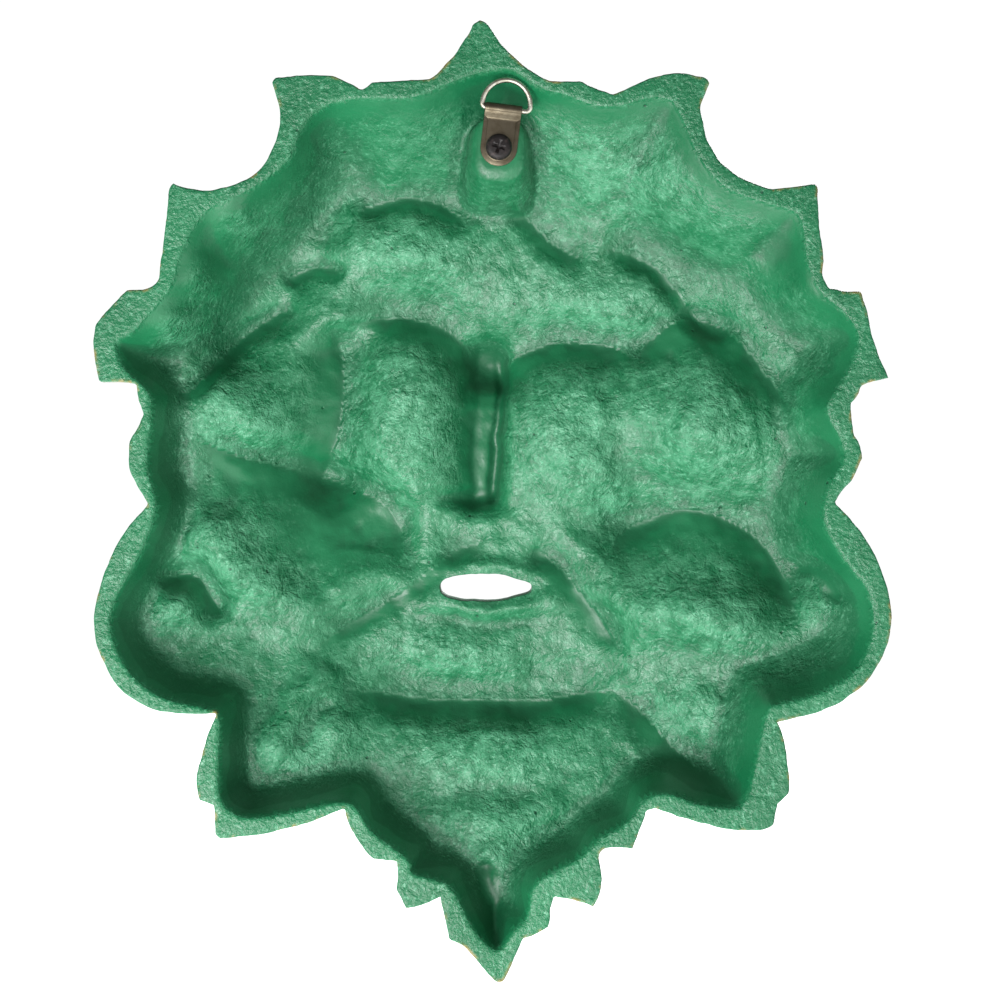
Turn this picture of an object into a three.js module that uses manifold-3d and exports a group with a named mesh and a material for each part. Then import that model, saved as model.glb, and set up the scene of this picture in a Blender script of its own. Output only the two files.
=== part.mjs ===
// A hollow cast wall mask: a leafy face with open lips, and the ring on its back that it hangs by.
// Millimetres. Z is up, the wall is the plane Y = 0 and the face looks along -Y.
// The origin is the inside of the ring's bow, on the wall's plane.
import * as THREE from 'three';
import { mergeVertices } from 'three/addons/utils/BufferGeometryUtils.js';
import Module from 'manifold-3d';

const wasm = await Module();
wasm.setup();

// The casting
const maskHeight = 254;
const wall = 5;
const leastWall = 4.2;
const sideWall = 3.4;
const sideWallFront = 1.5;
const sideDepth = 14.5;
const domeDepth = 19.5;
const leafEdge = 6;
const rimRise = 11;
const faceRise = 8.5;

// The mesh of the casting, finer over the face than over the leaves
const leafSpacing = 6.1;
const faceSpacing = 4.6;
const leafStep = 0.05;
const faceStep = 0.042;
const faceShare = 0.3;
const fewestInRing = 18;
const edgeSamples = 480;
const weldDistance = 1e-4;

// The boss that takes the screw
const bossTop = 4.3;
const bossWidth = 13.6;
const bossRise = 8.4;
const bossDrop = 8.6;
const bossDraft = 5;
const bossDropDraft = 8;
const bossSides = 28;
const bossRootShares = [1, 0.72, 0.45, 0.2];
const bossSquareness = 3;

// The ring, its strap and its screw
const wireRadius = 0.8;
const ringHalfWidth = 6.4;
const ringHeight = 7.7;
const ringShoulder = 1.1;
const ringLean = THREE.MathUtils.degToRad(7);
const ringTilt = THREE.MathUtils.degToRad(8);
const ringSlip = 0.6;
const strapSheet = 0.8;
const strapWidth = 9.8;
const strapEyeWidth = 9.8;
const strapEyeLength = 3.6;
const strapTopWidth = 7.6;
const strapEnd = 0.4;
const screwReach = 10.2;
const headRadius = 3.5;
const headHeight = 1.7;
const shankRadius = 1.45;
const shankLength = 10;
const clearance = 0.3;
const curveSteps = 10;
const wireSides = 8;
const screwSides = 20;
const holeSides = 16;

// The forms of the casting are drawn for a mask 254 mm high and grow with it
const drawnHeight = 254;
const grow = maskHeight / drawnHeight;

// Outline of the leaves, anticlockwise seen from the front: [x, z, bulge of the stretch before it]
const outlineCorners = [
  [7.7, 16.3, 0], [5.8, 15.4, 0.2], [3.2, 11.4, 0], [-10.8, 0.3, -1.1], [-19, 0.3, 0],
  [-27.2, -3.2, -0.3], [-38, 1.3, 0], [-47.3, 2.1, 0.5], [-51.5, 1.2, 0], [-53.1, -0.3, 0.3],
  [-50.7, -6.3, -0.3], [-69.2, -28.2, -5.5], [-80.5, -26.9, -0.3], [-81.6, -28.2, 0.3], [-82.6, -43, -0.3],
  [-83.2, -47.5, 0], [-82.9, -51.5, -0.4], [-84.5, -54.4, 0], [-92.9, -55.4, -0.3], [-94.5, -60.2, 0],
  [-97.3, -71.3, -0.3], [-100.1, -78.1, 0], [-92.9, -80.4, -0.3], [-90.2, -84.7, 0.5], [-91.3, -93.2, -0.3],
  [-93.2, -99.3, 0.5], [-90.3, -105.6, 0], [-86, -111.1, -0.3], [-101.1, -139.4, 2.9], [-86, -164.5, 4.5],
  [-70.9, -169, 0.5], [-73.7, -181.1, 0.5], [-73.9, -187.7, 0.3], [-70.9, -190.6, 0], [-70, -195.9, 0],
  [-66.5, -197.5, 0.4], [-56.2, -196.9, 0.3], [-38.5, -191.7, 0.4], [-36.2, -192.5, 0], [-32.5, -202.5, 0.4],
  [-25.3, -202.2, -0.4], [-23.9, -204.6, -0.3], [-24.6, -211.7, 0], [-22.2, -217.8, 0.5],
  [-11.8, -214.9, -0.3], [-10.8, -218.1, 0], [-10.3, -223.1, 0.3], [-3.7, -226.2, 0.3],
  [-1.8, -230.2, 0], [1.6, -237.6, 0.3],
  [4, -237.3, 0.3], [11.1, -228.9, 0], [15.8, -226.5, -0.3], [17.2, -219.9, 0], [18.2, -215.2, 0],
  [27.2, -218.2, 0.3], [29.6, -213.3, 0], [29.6, -205.7, -0.3], [35.9, -205.1, 0], [43.4, -191.9, 1.1],
  [55.5, -196.4, 0], [76.6, -199.8, 0.5], [77.9, -198.5, 0], [78.1, -190.9, -0.3], [81.6, -189.6, 0],
  [82.4, -183.2, 0.3], [77.2, -166.7, 0.5], [92.1, -166.1, 0.5], [105.3, -156.8, 1.6], [109.6, -140.4, 1.3],
  [95.3, -111.4, 2.6], [99.8, -103.5, 0], [100.1, -94.8, 0.5], [96.4, -87.9, 0], [97.8, -84, 0],
  [98.6, -79.7, -0.1], [108.2, -79.2, -0.3], [109.8, -68.4, 0.3], [109.3, -64.4, 0], [100.8, -55.1, 0.5],
  [94.8, -54.3, 0], [92.4, -52, -0.3], [90, -30.1, 0], [88.7, -26.8, 0.3], [80.3, -28.5, -0.5],
  [60.5, -10.6, -5.5], [62.6, 0, -0.5], [61.5, 1.3, 0], [46.5, 1.6, 0.3], [39.1, -2.1, 0.3],
  [36.4, -0.1, -0.3], [20.9, 0.8, 0], [9.5, 15.2, -1.1],
];

// Edge of the hollow in the flat rim, the same way round, a smooth curve through these points
const hollowPoints = [
  [9.5, 2], [4.2, 3.2], [-0.8, 3.2], [-8.7, -1.6], [-14.8, -3.2], [-21.6, -5.8], [-28.2, -6.3],
  [-37.5, -4], [-42.8, -4.8], [-45.1, -7.9], [-49.4, -18], [-54.1, -24.7], [-59.7, -29], [-70.2, -32.5],
  [-76, -34.6], [-77.9, -39.6], [-78.9, -47.5], [-82.6, -55.4], [-89, -61.2], [-92.4, -67.6], [-89.8, -76],
  [-84.7, -84], [-84.5, -88.2], [-88.2, -95.6], [-88.2, -100.3], [-84.5, -107.2], [-83.3, -115.6],
  [-87.6, -124.6], [-94.2, -133.3], [-96.2, -139.9], [-95.6, -147.8], [-91.6, -155.5], [-82.1, -161.4],
  [-71.8, -164.2], [-68.4, -166.6], [-64.9, -181.9], [-63.4, -188.2], [-59.7, -191.7], [-50.4, -190.7],
  [-42, -188], [-35.9, -189.6], [-31.4, -195.4], [-24, -199.8], [-18.4, -205.1], [-9, -210.1], [-6.1, -214.1],
  [-5, -220.4], [-1.3, -224.4], [3.2, -229.4], [9.5, -223.6], [14.5, -213.8], [17.4, -211.3], [25.6, -208.8],
  [26.7, -205.4], [36.4, -197.7], [40.4, -191.7], [44.6, -190.3], [56.8, -192.7], [67.8, -194.4],
  [73.4, -192.7], [76.6, -188], [76.8, -177.9], [76.8, -167.4], [80.8, -165.3], [92.1, -162.4],
  [100.6, -155.5], [105.1, -145.7], [104.5, -137.8], [97.2, -123.8], [93.5, -112.2], [95.6, -101.1],
  [94.5, -86.9], [95.8, -81.3], [101.6, -75.5], [103.8, -68.9], [99, -65.5], [89.5, -54.1], [86.9, -45.7],
  [80.3, -34.3], [68.4, -28.2], [58.6, -20.6], [54.4, -11.1], [47.8, -5.9], [37.5, -4.2], [25.6, -4],
  [16.6, -0.5],
];

// The open lips
const mouth = { x: 6.2, z: -134.6, halfWidth: 12.7, halfHeight: 3.8 };
const lipRise = 1.6;
const lipWidth = 2.2;

// The floor of the hollow bulges towards the face, and its forms fade out towards the sides
const dome = { at: [6, -112], reach: [118, 140] };
const sideReach = 4.2;

// The sides are steep on the left and below, and slope more gently on the right and most at the top
const sideWidth = 6.5;
const sideSharpness = 1.5;
const widerRight = { start: 20, length: 60, width: 5 };
const widerTop = { start: -75, length: 55, leftEnd: 60, leftFade: 30, width: 18 };

// How round a fold is in its crease, and a slope where it ends
const creaseRound = 0.7;
const slopeSoftness = 0.02;

// Forms of the hollow, by the mask's own left (+X) and right (-X).
// Depth is measured from the wall: a positive one sinks towards the face, a negative one stands up.
const hollowSwells = [
  { name: 'left eye', at: [31.4, -87.9], radius: [16.5, 22], depth: -6.5, power: 3 },
  { name: 'right eye', at: [-16.4, -92.3], radius: [15.9, 17], turn: 6, depth: -7, power: 3 },
  { name: 'right temple', at: [-53.7, -90.1], radius: [18.1, 20.9], depth: -10, power: 2.6 },
  { name: 'left temple', at: [78.6, -86.8], radius: [14.8, 13.7], turn: -12, depth: -7.5, power: 3 },
  { name: 'pit under the nose', at: [9.4, -110.7], radius: [8.2, 3], turn: 4, depth: 5, power: 2 },
  { name: 'left cheek', at: [77.5, -125.8], radius: [11.5, 16.5], turn: 25, depth: -6, power: 2.6 },
  { name: 'left cheek bowl', at: [47.6, -118.1], radius: [15.4, 11], turn: 8, depth: 1.5, power: 3 },
  { name: 'left curl', at: [92.3, -139.8], radius: [7.1, 6], depth: -4, power: 2 },
  { name: 'right cheek', at: [-49.9, -140.7], radius: [22, 11], turn: 10, depth: -9, power: 2.2 },
  { name: 'right jaw', at: [-83.4, -139.6], radius: [5.5, 4.7], depth: -4, power: 2 },
  { name: 'beside the right eye', at: [-26.6, -109.1], radius: [7.7, 7.1], depth: -2.5, power: 2 },
  { name: 'left leaf pocket', at: [78.6, -45.1], radius: [5.5, 9.3], turn: -20, depth: 2, power: 2 },
  { name: 'left leaf lump', at: [89.6, -63.2], radius: [6.6, 4.9], depth: -5, power: 3 },
  { name: 'upper left leaf', at: [73.1, -34.1], radius: [5.5, 4.9], depth: -4.5, power: 3 },
  { name: 'middle left leaf', at: [83, -48.9], radius: [4.9, 5.5], depth: -4, power: 3 },
  { name: 'right leaf pocket', at: [-73.8, -45.1], radius: [6.6, 7.1], depth: 3, power: 2 },
  { name: 'right leaf lump', at: [-81.8, -53.9], radius: [5.5, 5.5], depth: -5, power: 3 },
  { name: 'lower lip', at: [14.6, -153], radius: [18.1, 6], turn: 5, depth: -3.5, power: 2 },
  { name: 'chin', at: [6.4, -180.7], radius: [25.3, 8.8], depth: -4, power: 2.4 },
  { name: 'behind the ring', at: [0.6, 1.6], radius: [14.3, 10.4], depth: 10, power: 2.4 },
  { name: 'forehead', at: [27, -43.2], radius: [18.1, 9.3], turn: 10, depth: -4, power: 2 },
  { name: 'right forehead', at: [-25.2, -58.8], radius: [19.2, 8.2], turn: 10, depth: -3.5, power: 2 },
  { name: 'right crown', at: [-27.9, -22.6], radius: [24.7, 11], turn: 15, depth: -2, power: 2 },
  { name: 'left beard', at: [53.1, -180.5], radius: [12.6, 11], depth: -2, power: 2 },
  { name: 'left beard lump', at: [45.9, -172.8], radius: [4.1, 6], depth: -2.5, power: 2 },
  { name: 'right beard', at: [-47.2, -169.5], radius: [13.2, 10.4], turn: 20, depth: -3, power: 2.6 },
  { name: 'beard point', at: [5, -206.6], radius: [17.6, 12.6], depth: -4, power: 2 },
];

// Folds run along a line: [width on its right, width on its left]. A side with a sharpness falls away
// as a straight or hollow slope that ends at the width, the others as a soft bell.
const hollowFolds = [
  {
    name: 'nose', depth: 7, width: [3.8, 9.9], floor: 2.2, sharp: [1.2, 1.6],
    line: [[5.3, -62.4], [5.8, -83], [6.4, -102.2], [6.7, -112.1]],
  },
  {
    name: 'crevice beside the nose', depth: 3.2, width: [1.1, 1.6], sharp: [1, 1],
    line: [[1.4, -67.9], [2, -83], [3.1, -99.5], [4.5, -113.7]],
  },
  {
    name: 'left temple trough', depth: 7, width: [6.6, 17.6], sharp: [1, 1.05],
    line: [[50.1, -57.2], [46.5, -67.9], [45.7, -80.2], [46.8, -91.2], [51.7, -105]],
  },
  {
    name: 'left brow', depth: 6, width: [9.3, 11], sharp: [0, 1.4],
    line: [[45.7, -62.1], [33.8, -60.2], [22.9, -61.3], [14.6, -65.1], [9.7, -72], [6.9, -82.4]],
  },
  {
    name: 'right brow', depth: 6, width: [8.2, 9.9], sharp: [0, 1.3],
    line: [[2.8, -85.7], [0.6, -74.7], [-6, -69], [-17, -66.8], [-28.5, -68.2], [-37.3, -72.6]],
  },
  {
    name: 'lower left temple arc', depth: 3, width: [3.3, 4.9], sharp: [0, 1.2],
    line: [[79.2, -73.1], [75.3, -67.9], [69.3, -62.9], [58.8, -58]],
  },
  {
    name: 'upper left temple arc', depth: 2.2, width: [2.2, 4.9], sharp: [0, 1.2],
    line: [[62.7, -50.6], [56.6, -47], [50.1, -46.2], [43.5, -49.2]],
  },
  {
    name: 'left leaf crest', depth: -5, width: [7.1, 5.5],
    line: [[51.1, -2.3], [67.6, -25.3], [80.5, -45.9], [90.7, -65.1], [95.6, -72.6]],
  },
  {
    name: 'left leaf valley', depth: 7.5, width: [11, 12.1], sharp: [0, 1.1],
    line: [[41.3, -3.4], [49, -25.3], [57.2, -39.6], [63.8, -52.8], [74.8, -63.8], [85.7, -74.2]],
  },
  {
    name: 'left forehead ledge', depth: 3.6, width: [8.8, 6], sharp: [0, 1.2],
    line: [[43.5, -32.5], [35.2, -28.9], [26.4, -27.5], [17.4, -30], [9.4, -36.9]],
  },
  {
    name: 'right forehead ledge', depth: 3.2, width: [7.7, 3.8], sharp: [0, 1.2],
    line: [[-1, -28.9], [-6, -34.1], [-12, -39.9], [-22.4, -45.6]],
  },
  {
    name: 'right temple ledge', depth: 4.4, width: [7.7, 3.6], sharp: [0, 1.2],
    line: [[-25.2, -40.4], [-34.8, -44], [-42.2, -47.8], [-47.7, -55.5],
      [-52.7, -60.5], [-62.3, -62.9], [-70.8, -69.8], [-76.8, -80.8]],
  },
  {
    name: 'right crown ridge', depth: -2.5, width: [6.6, 7.1],
    line: [[-13.1, -22.6], [-30.7, -25.9], [-47.2, -34.1], [-62.3, -39.6], [-76.8, -33]],
  },
  {
    name: 'right cheek valley', depth: 8, width: [12.6, 15.4], sharp: [0, 1.2],
    line: [[-25.2, -125.8], [-34, -114.8], [-49.9, -111],
      [-65.6, -116.5], [-76.5, -130.2], [-79.6, -146.7]],
  },
  {
    name: 'right cheek pit', depth: 4.5, width: [2.5, 3], sharp: [0, 1],
    line: [[-76.8, -128.6], [-83.4, -128.6], [-87.8, -132.4], [-90, -139.6]],
  },
  {
    name: 'left cheek crest', depth: -2.5, width: [4.9, 7.7],
    line: [[90.1, -102.2], [83.8, -115.9], [72.3, -128.3], [61.3, -138.5], [47.6, -144.8]],
  },
  {
    name: 'under the left eye', depth: 6, width: [6, 16.5], sharp: [1, 1.2],
    line: [[70.9, -97.3], [57.2, -103.3], [46.2, -107.7], [35.8, -112.1], [29.2, -119.2], [28.6, -127.5]],
  },
  {
    name: 'left curl pit', depth: 7, width: [3.8, 6.6], sharp: [0, 1],
    line: [[97.3, -133], [87.9, -130.5], [82.2, -134.1], [77.5, -144.5]],
  },
  {
    name: 'left moustache crease', depth: 2.4, width: [6, 3.8], sharp: [0, 1],
    line: [[59.4, -154.9], [43.2, -144.2], [31.4, -137.1], [21.8, -130.2], [12.2, -123.4], [3.9, -121.4]],
  },
  {
    name: 'left moustache crest', depth: -2, width: [6, 5.5],
    line: [[59.9, -147.5], [43.5, -135.7], [29.7, -127.5], [17.4, -120.9]],
  },
  {
    name: 'right moustache crease', depth: 2.8, width: [5.5, 6.6], sharp: [0, 1.2],
    line: [[-6.2, -122], [-14.8, -130.2], [-22.4, -139], [-30.7, -153]],
  },
  {
    name: 'right moustache crest', depth: -2.5, width: [4.9, 3.8],
    line: [[-8.7, -118.7], [-21.1, -129.1], [-32.9, -141.2], [-40.3, -150.3]],
  },
  {
    name: 'lip line', depth: -1.2, width: [2.2, 2.2],
    line: [[23.1, -133.5], [18.2, -138.5], [9.4, -141.2], [-1, -141.8], [-10.1, -138.5]],
  },
  {
    name: 'crease under the lip', depth: 0.9, width: [1.9, 2.2],
    line: [[23.1, -135.7], [18.2, -140.9], [9.4, -143.7], [-1, -144.2], [-10.1, -141.2]],
  },
  {
    name: 'chin step', depth: 6.5, width: [17.6, 7.4], sharp: [0, 1],
    line: [[50.3, -161.5], [35.2, -163.7], [21.5, -165.6], [5, -166.2],
      [-9, -165.9], [-22.4, -163.7], [-36.2, -161]],
  },
  {
    name: 'right chin step', depth: 5, width: [8.2, 8.2], sharp: [0, 1],
    line: [[-28.5, -161.5], [-37.5, -169.5], [-45, -177.7], [-52.7, -184], [-60.3, -185.1]],
  },
  {
    name: 'left beard crest', depth: -3, width: [3.8, 3.8],
    line: [[46.8, -156], [54.4, -162.6], [61.6, -171.4], [68.7, -184]],
  },
  {
    name: 'left beard crease', depth: 1.2, width: [2.2, 2.7],
    line: [[47.9, -164.8], [53.9, -170.3], [57.7, -178.5]],
  },
  {
    name: 'point groove', depth: 3, width: [3.8, 5.5], sharp: [1, 1.4],
    line: [[3.1, -234], [4.5, -220.3], [6.7, -206.6]],
  },
  {
    name: 'neck fold', depth: -2, width: [3.8, 3.8],
    line: [[29.7, -190.1], [10.5, -196.9], [-14.2, -192.8], [-30.7, -181.8]],
  },
];

// Forms of the face itself, the same on both sides of its middle line; a positive depth stands out
const faceMiddle = 5.8;
const faceOval = { height: -100, reach: [47, 64] };
const faceSwells = [
  { name: 'socket', at: [21, -86], radius: [17, 12], depth: -8, power: 3 },
  { name: 'eyeball', at: [22, -88], radius: [12, 7.2], depth: 7.5, power: 2.6 },
  { name: 'cheekbone', at: [36, -110], radius: [17, 13], depth: 5.5, power: 2 },
  { name: 'temple', at: [50, -84], radius: [10, 16], depth: -3, power: 2 },
  { name: 'nostril', at: [9.5, -107.5], radius: [5, 4.6], depth: 6.5, power: 2.4 },
  { name: 'corner of the lips', at: [23, -135], radius: [5, 5], depth: -3, power: 2 },
  { name: 'bridge of the nose', at: [0, -80], radius: [6.5, 22], depth: 8, power: 3 },
  { name: 'nose', at: [0, -99], radius: [9, 15], depth: 8, power: 2.4 },
  { name: 'nose tip', at: [0, -106.5], radius: [8, 7], depth: 8.5, power: 2.4 },
  { name: 'chin', at: [0, -162], radius: [17, 11], depth: 9, power: 2.4 },
  { name: 'forehead', at: [0, -47], radius: [36, 17], depth: 4, power: 2.4 },
  { name: 'under the lip', at: [0, -150], radius: [13, 4], depth: -3, power: 2 },
];
const faceFolds = [
  { name: 'brow', depth: 7, width: [7, 5], line: [[4, -72], [13, -66], [26, -63.5], [38, -67], [48, -78]] },
  {
    name: 'upper lid', depth: 2.4, width: [1.8, 2.6],
    line: [[9, -90], [14, -84.2], [22, -81], [30, -83.2], [35.5, -89]],
  },
  {
    name: 'lower lid', depth: 1.8, width: [1.8, 1.8],
    line: [[10, -90], [16, -94.6], [24, -95.8], [34, -90.5]],
  },
  {
    name: 'moustache', depth: 8, width: [6.5, 5],
    line: [[3, -117], [14, -119], [28, -127], [42, -139], [58, -147], [66, -141]],
  },
  {
    name: 'upper lip', depth: 4.5, width: [3.2, 3],
    line: [[-4, -128.5], [0, -129], [5, -127.4], [12, -129.6], [19, -134]],
  },
  {
    name: 'lower lip', depth: 6.5, width: [3.6, 4.4],
    line: [[-6, -142.5], [0, -143], [9, -142], [18, -137]],
  },
  { name: 'smile line', depth: -2.5, width: [3, 4], line: [[12, -110], [22, -117], [32, -129]] },
];

// Leaves of the mane and the beard: [tip x, tip z, root x, root z, half width, rise]
const leafRib = 1.5;
const leafRibWidth = 2.2;
const leaves = [
  [6, 16, 6, -52, 17, 7.5], [-52, 1, -16, -60, 17, 7], [61, 1, 28, -60, 17, 7],
  [-81, -28, -30, -70, 17, 7.5], [88, -28, 42, -70, 17, 7.5], [-99, -72, -38, -88, 16, 7],
  [108, -72, 50, -88, 16, 7], [-93, -99, -42, -104, 12, 5.5], [100, -99, 54, -104, 12, 5.5],
  [-101, -140, -38, -116, 21, 7.5], [109, -141, 50, -116, 21, 7.5], [-70, -196, -28, -136, 20, 8],
  [78, -199, 40, -136, 20, 8], [-30, -203, -10, -158, 14, 7], [34, -206, 22, -158, 14, 7],
  [-20, -217, -3, -168, 11, 7.5], [28, -217, 15, -168, 11, 7.5], [2, -237, 5, -168, 13, 8.5],
  [-30, 0, -6, -50, 13, 4.5], [42, 0, 18, -50, 13, 4.5], [-70, -26, -26, -62, 12, 4.5],
  [76, -26, 38, -62, 12, 4.5], [-92, -56, -36, -78, 13, 4.5], [102, -56, 48, -78, 13, 4.5],
  [-88, -164, -36, -126, 14, 5], [96, -164, 48, -126, 14, 5], [-50, -196, -18, -150, 13, 5],
  [58, -196, 30, -150, 13, 5],
];

const greenPaint = { color: 0x3c8c62, roughness: 0.45, metalness: 0.05 };
const nickel = { color: 0xb4b2a8, roughness: 0.3, metalness: 0.9 };
const bronzedSteel = { color: 0x787062, roughness: 0.42, metalness: 0.8 };
const blackSteel = { color: 0x2b2422, roughness: 0.5, metalness: 0.6 };

const grown = (points) => points.map(([x, z]) => [x * grow, z * grow]);
const fraction = (from, to, t) => [from[0] + (to[0] - from[0]) * t, from[1] + (to[1] - from[1]) * t];

// Corners joined by stretches that bow out by their bulge
function bowedLoop(corners, spacing) {
  const loop = [];
  corners.forEach(([x, z], i) => {
    const [nextX, nextZ, bulge] = corners[(i + 1) % corners.length];
    const length = Math.hypot(nextX - x, nextZ - z);
    const steps = Math.max(1, Math.round(length / spacing));
    for (let k = 0; k < steps; k += 1) {
      const t = k / steps;
      const bow = 4 * bulge * t * (1 - t) / length;
      loop.push([x + (nextX - x) * t + (nextZ - z) * bow, z + (nextZ - z) * t - (nextX - x) * bow]);
    }
  });
  return loop;
}

const asVectors = (points) => points.map(([x, z]) => new THREE.Vector3(x, 0, z));
const asPairs = (vectors) => vectors.map((vector) => [vector.x, vector.z]);

function smoothLoop(points, samples) {
  const curve = new THREE.CatmullRomCurve3(asVectors(points), true, 'centripetal');
  return asPairs(curve.getSpacedPoints(samples).slice(0, -1));
}

const outline = grown(bowedLoop(outlineCorners, leafSpacing / grow));
const hollowEdge = smoothLoop(grown(hollowPoints), edgeSamples);

// The nearest place of a line of points: its distance, the side that (x, z) is on and its share of the line
function nearest(line, closed, x, z) {
  const place = { distance: Infinity, side: 1, share: 0 };
  const last = closed ? line.length : line.length - 1;
  for (let i = 0; i < last; i += 1) {
    const [ax, az] = line[i];
    const [bx, bz] = line[(i + 1) % line.length];
    const [dx, dz] = [bx - ax, bz - az];
    const t = THREE.MathUtils.clamp(((x - ax) * dx + (z - az) * dz) / (dx * dx + dz * dz), 0, 1);
    const distance = Math.hypot(x - ax - dx * t, z - az - dz * t);
    if (distance < place.distance) {
      place.distance = distance;
      place.side = Math.sign(dx * (z - az) - dz * (x - ax)) || 1;
      place.share = (i + t) / last;
    }
  }
  return place;
}

const smoothstep = (t) => THREE.MathUtils.smoothstep(t, 0, 1);
const rising = (distance, reach) => 1 - Math.exp(-distance / reach);
const total = (forms, shape, x, z) => forms.reduce((sum, form) => sum + shape(form, x, z), 0);

function swell({ at, radius, turn = 0, depth, power }, x, z) {
  const angle = THREE.MathUtils.degToRad(turn);
  const [dx, dz] = [x - at[0], z - at[1]];
  const u = (dx * Math.cos(angle) + dz * Math.sin(angle)) / radius[0];
  const v = (dz * Math.cos(angle) - dx * Math.sin(angle)) / radius[1];
  return depth * Math.exp(-((u * u + v * v) ** (power / 2)));
}

// A fold is a smooth curve through its points that fades out over the taper at both ends
const taper = 0.22;
const samplesPerFoldPoint = 6;
const curved = (folds) => folds.map(({ line, ...rest }) => {
  const curve = new THREE.CatmullRomCurve3(asVectors(line), false, 'catmullrom');
  return { ...rest, line: asPairs(curve.getPoints(samplesPerFoldPoint * (line.length - 1))) };
});

// From 1 beside a line to 0: a soft bell or, with a sharpness, a slope that ends at the width
function slopeDown(distance, width, sharpness) {
  if (sharpness === 0) {
    return Math.exp(-((distance / width) ** 2));
  }
  const left = 1 - distance / width;
  return ((left + Math.sqrt(left * left + slopeSoftness)) / 2) ** sharpness;
}

function fold({ depth, width, line, floor = 0, sharp = [0, 0] }, x, z) {
  const { distance, side, share } = nearest(line, false, x, z);
  const which = side > 0 ? 1 : 0;
  const away = Math.max(0, Math.hypot(distance, creaseRound) - creaseRound - floor);
  const end = smoothstep(Math.min(share, 1 - share) / taper);
  return depth * end * slopeDown(away, width[which], sharp[which]);
}

const curvedHollowFolds = curved(hollowFolds);
const curvedFaceFolds = curved(faceFolds);
const insetAt = (x, z) => nearest(hollowEdge, true, x * grow, z * grow).distance / grow;

function domeAt(x, z) {
  const across = (x - dome.at[0]) / dome.reach[0];
  const up = (z - dome.at[1]) / dome.reach[1];
  return domeDepth * (1 - across * across - up * up);
}

function wallWidthAt(x, z) {
  const right = smoothstep((-x - widerRight.start) / widerRight.length);
  const top = smoothstep((z - widerTop.start) / widerTop.length);
  const fade = smoothstep((widerTop.leftEnd - x) / widerTop.leftFade);
  return sideWidth + widerRight.width * right + widerTop.width * top * fade;
}

// How deep the hollow is behind a point of the mask, at its drawn size
function hollowDepth(x, z, inset = insetAt(x, z)) {
  const toLips = Math.hypot((x - mouth.x) / mouth.halfWidth, (z - mouth.z) / mouth.halfHeight) - 1;
  const lip = lipRise * Math.exp(-((toLips * mouth.halfHeight / lipWidth - 1) ** 2));
  const forms = total(hollowSwells, swell, x, z) + total(curvedHollowFolds, fold, x, z);
  const side = 1 - slopeDown(inset, wallWidthAt(x, z), sideSharpness);
  return (sideDepth + domeAt(x, z)) * side + forms * rising(inset, sideReach) - lip;
}

// A leaf comes up from under the face, is highest along its rib and narrows to its tip
const leafWidest = 0.45;
const leafRootWidth = 0.7;
const leafTipLength = 0.6;
const leafFall = 0.88;
const leafSlim = 0.86;
function leafHeight([tipX, tipZ, rootX, rootZ, halfWidth, rise], x, z) {
  const [dx, dz] = [tipX - rootX, tipZ - rootZ];
  const length = Math.hypot(dx, dz);
  const along = ((x - rootX) * dx + (z - rootZ) * dz) / (length * length);
  const across = Math.abs((x - rootX) * dz - (z - rootZ) * dx) / length;
  const toTip = Math.sqrt(Math.max(0, 1 - Math.max(0, along - leafWidest) / leafTipLength));
  const fromRoot = THREE.MathUtils.lerp(leafRootWidth, 1, smoothstep(along / leafWidest));
  const half = leafSlim * halfWidth * toTip * fromRoot;
  if (along <= 0 || across >= half) {
    return 0;
  }
  const blade = rise * (1 - leafFall * (across / half) ** 2);
  const rib = leafRib * Math.exp(-((across / leafRibWidth) ** 2));
  return (blade + rib) * smoothstep(along / leafWidest);
}

// The front of the casting: side walls, the dome, and on it the face or the leaves, whichever is higher
const frontReach = 8;
const formReach = 10;
const leafReach = 5;
const leafStart = 3;
const domeSink = 0.5;
const softness = 1.2;
function frontDepth(x, z) {
  const inset = insetAt(x, z);
  const right = Math.abs(x - faceMiddle);
  const spread = (right / faceOval.reach[0]) ** 2 + ((z - faceOval.height) / faceOval.reach[1]) ** 2;
  const forms = total(faceSwells, swell, right, z) + total(curvedFaceFolds, fold, right, z);
  const face = faceRise * Math.exp(-(spread ** 2)) + forms * rising(inset, formReach);
  const highest = Math.max(...leaves.map((blade) => leafHeight(blade, x, z)));
  const leaf = highest * rising(inset + leafStart, leafReach);
  const body = rimRise + (sideDepth + wall - rimRise) * rising(inset, frontReach);
  const front = body + (domeAt(x, z) - domeSink) * rising(inset, formReach) + Math.max(face, leaf);
  const behindSide = hollowDepth(x, z, inset + sideWall) + sideWallFront;
  const least = Math.max(hollowDepth(x, z, inset) + leastWall, behindSide);
  return Math.max(front, least) + softness * Math.log(1 + Math.exp(-Math.abs(front - least) / softness));
}

// On the rim the front comes down to the thin edge of the leaves
const edgeSlope = 5;
function rimFront(x, z) {
  const toOutline = nearest(outline, true, x * grow, z * grow).distance / grow;
  return THREE.MathUtils.lerp(leafEdge, frontDepth(x, z), smoothstep(toOutline / edgeSlope));
}

// The plan is a set of rings from the hollow's edge in to the lips, with points a spacing apart
function planRing(inward) {
  const ring = hollowEdge.map(([x, z]) => {
    const angle = Math.atan2(z / grow - mouth.z, x / grow - mouth.x);
    const lip = [
      (mouth.x + mouth.halfWidth * Math.cos(angle)) * grow,
      (mouth.z + mouth.halfHeight * Math.sin(angle)) * grow,
    ];
    return fraction([x, z], lip, inward);
  });
  const towardsFace = smoothstep(inward / faceShare);
  return spaced(ring, THREE.MathUtils.lerp(leafSpacing, faceSpacing, towardsFace) * grow);
}

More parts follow.
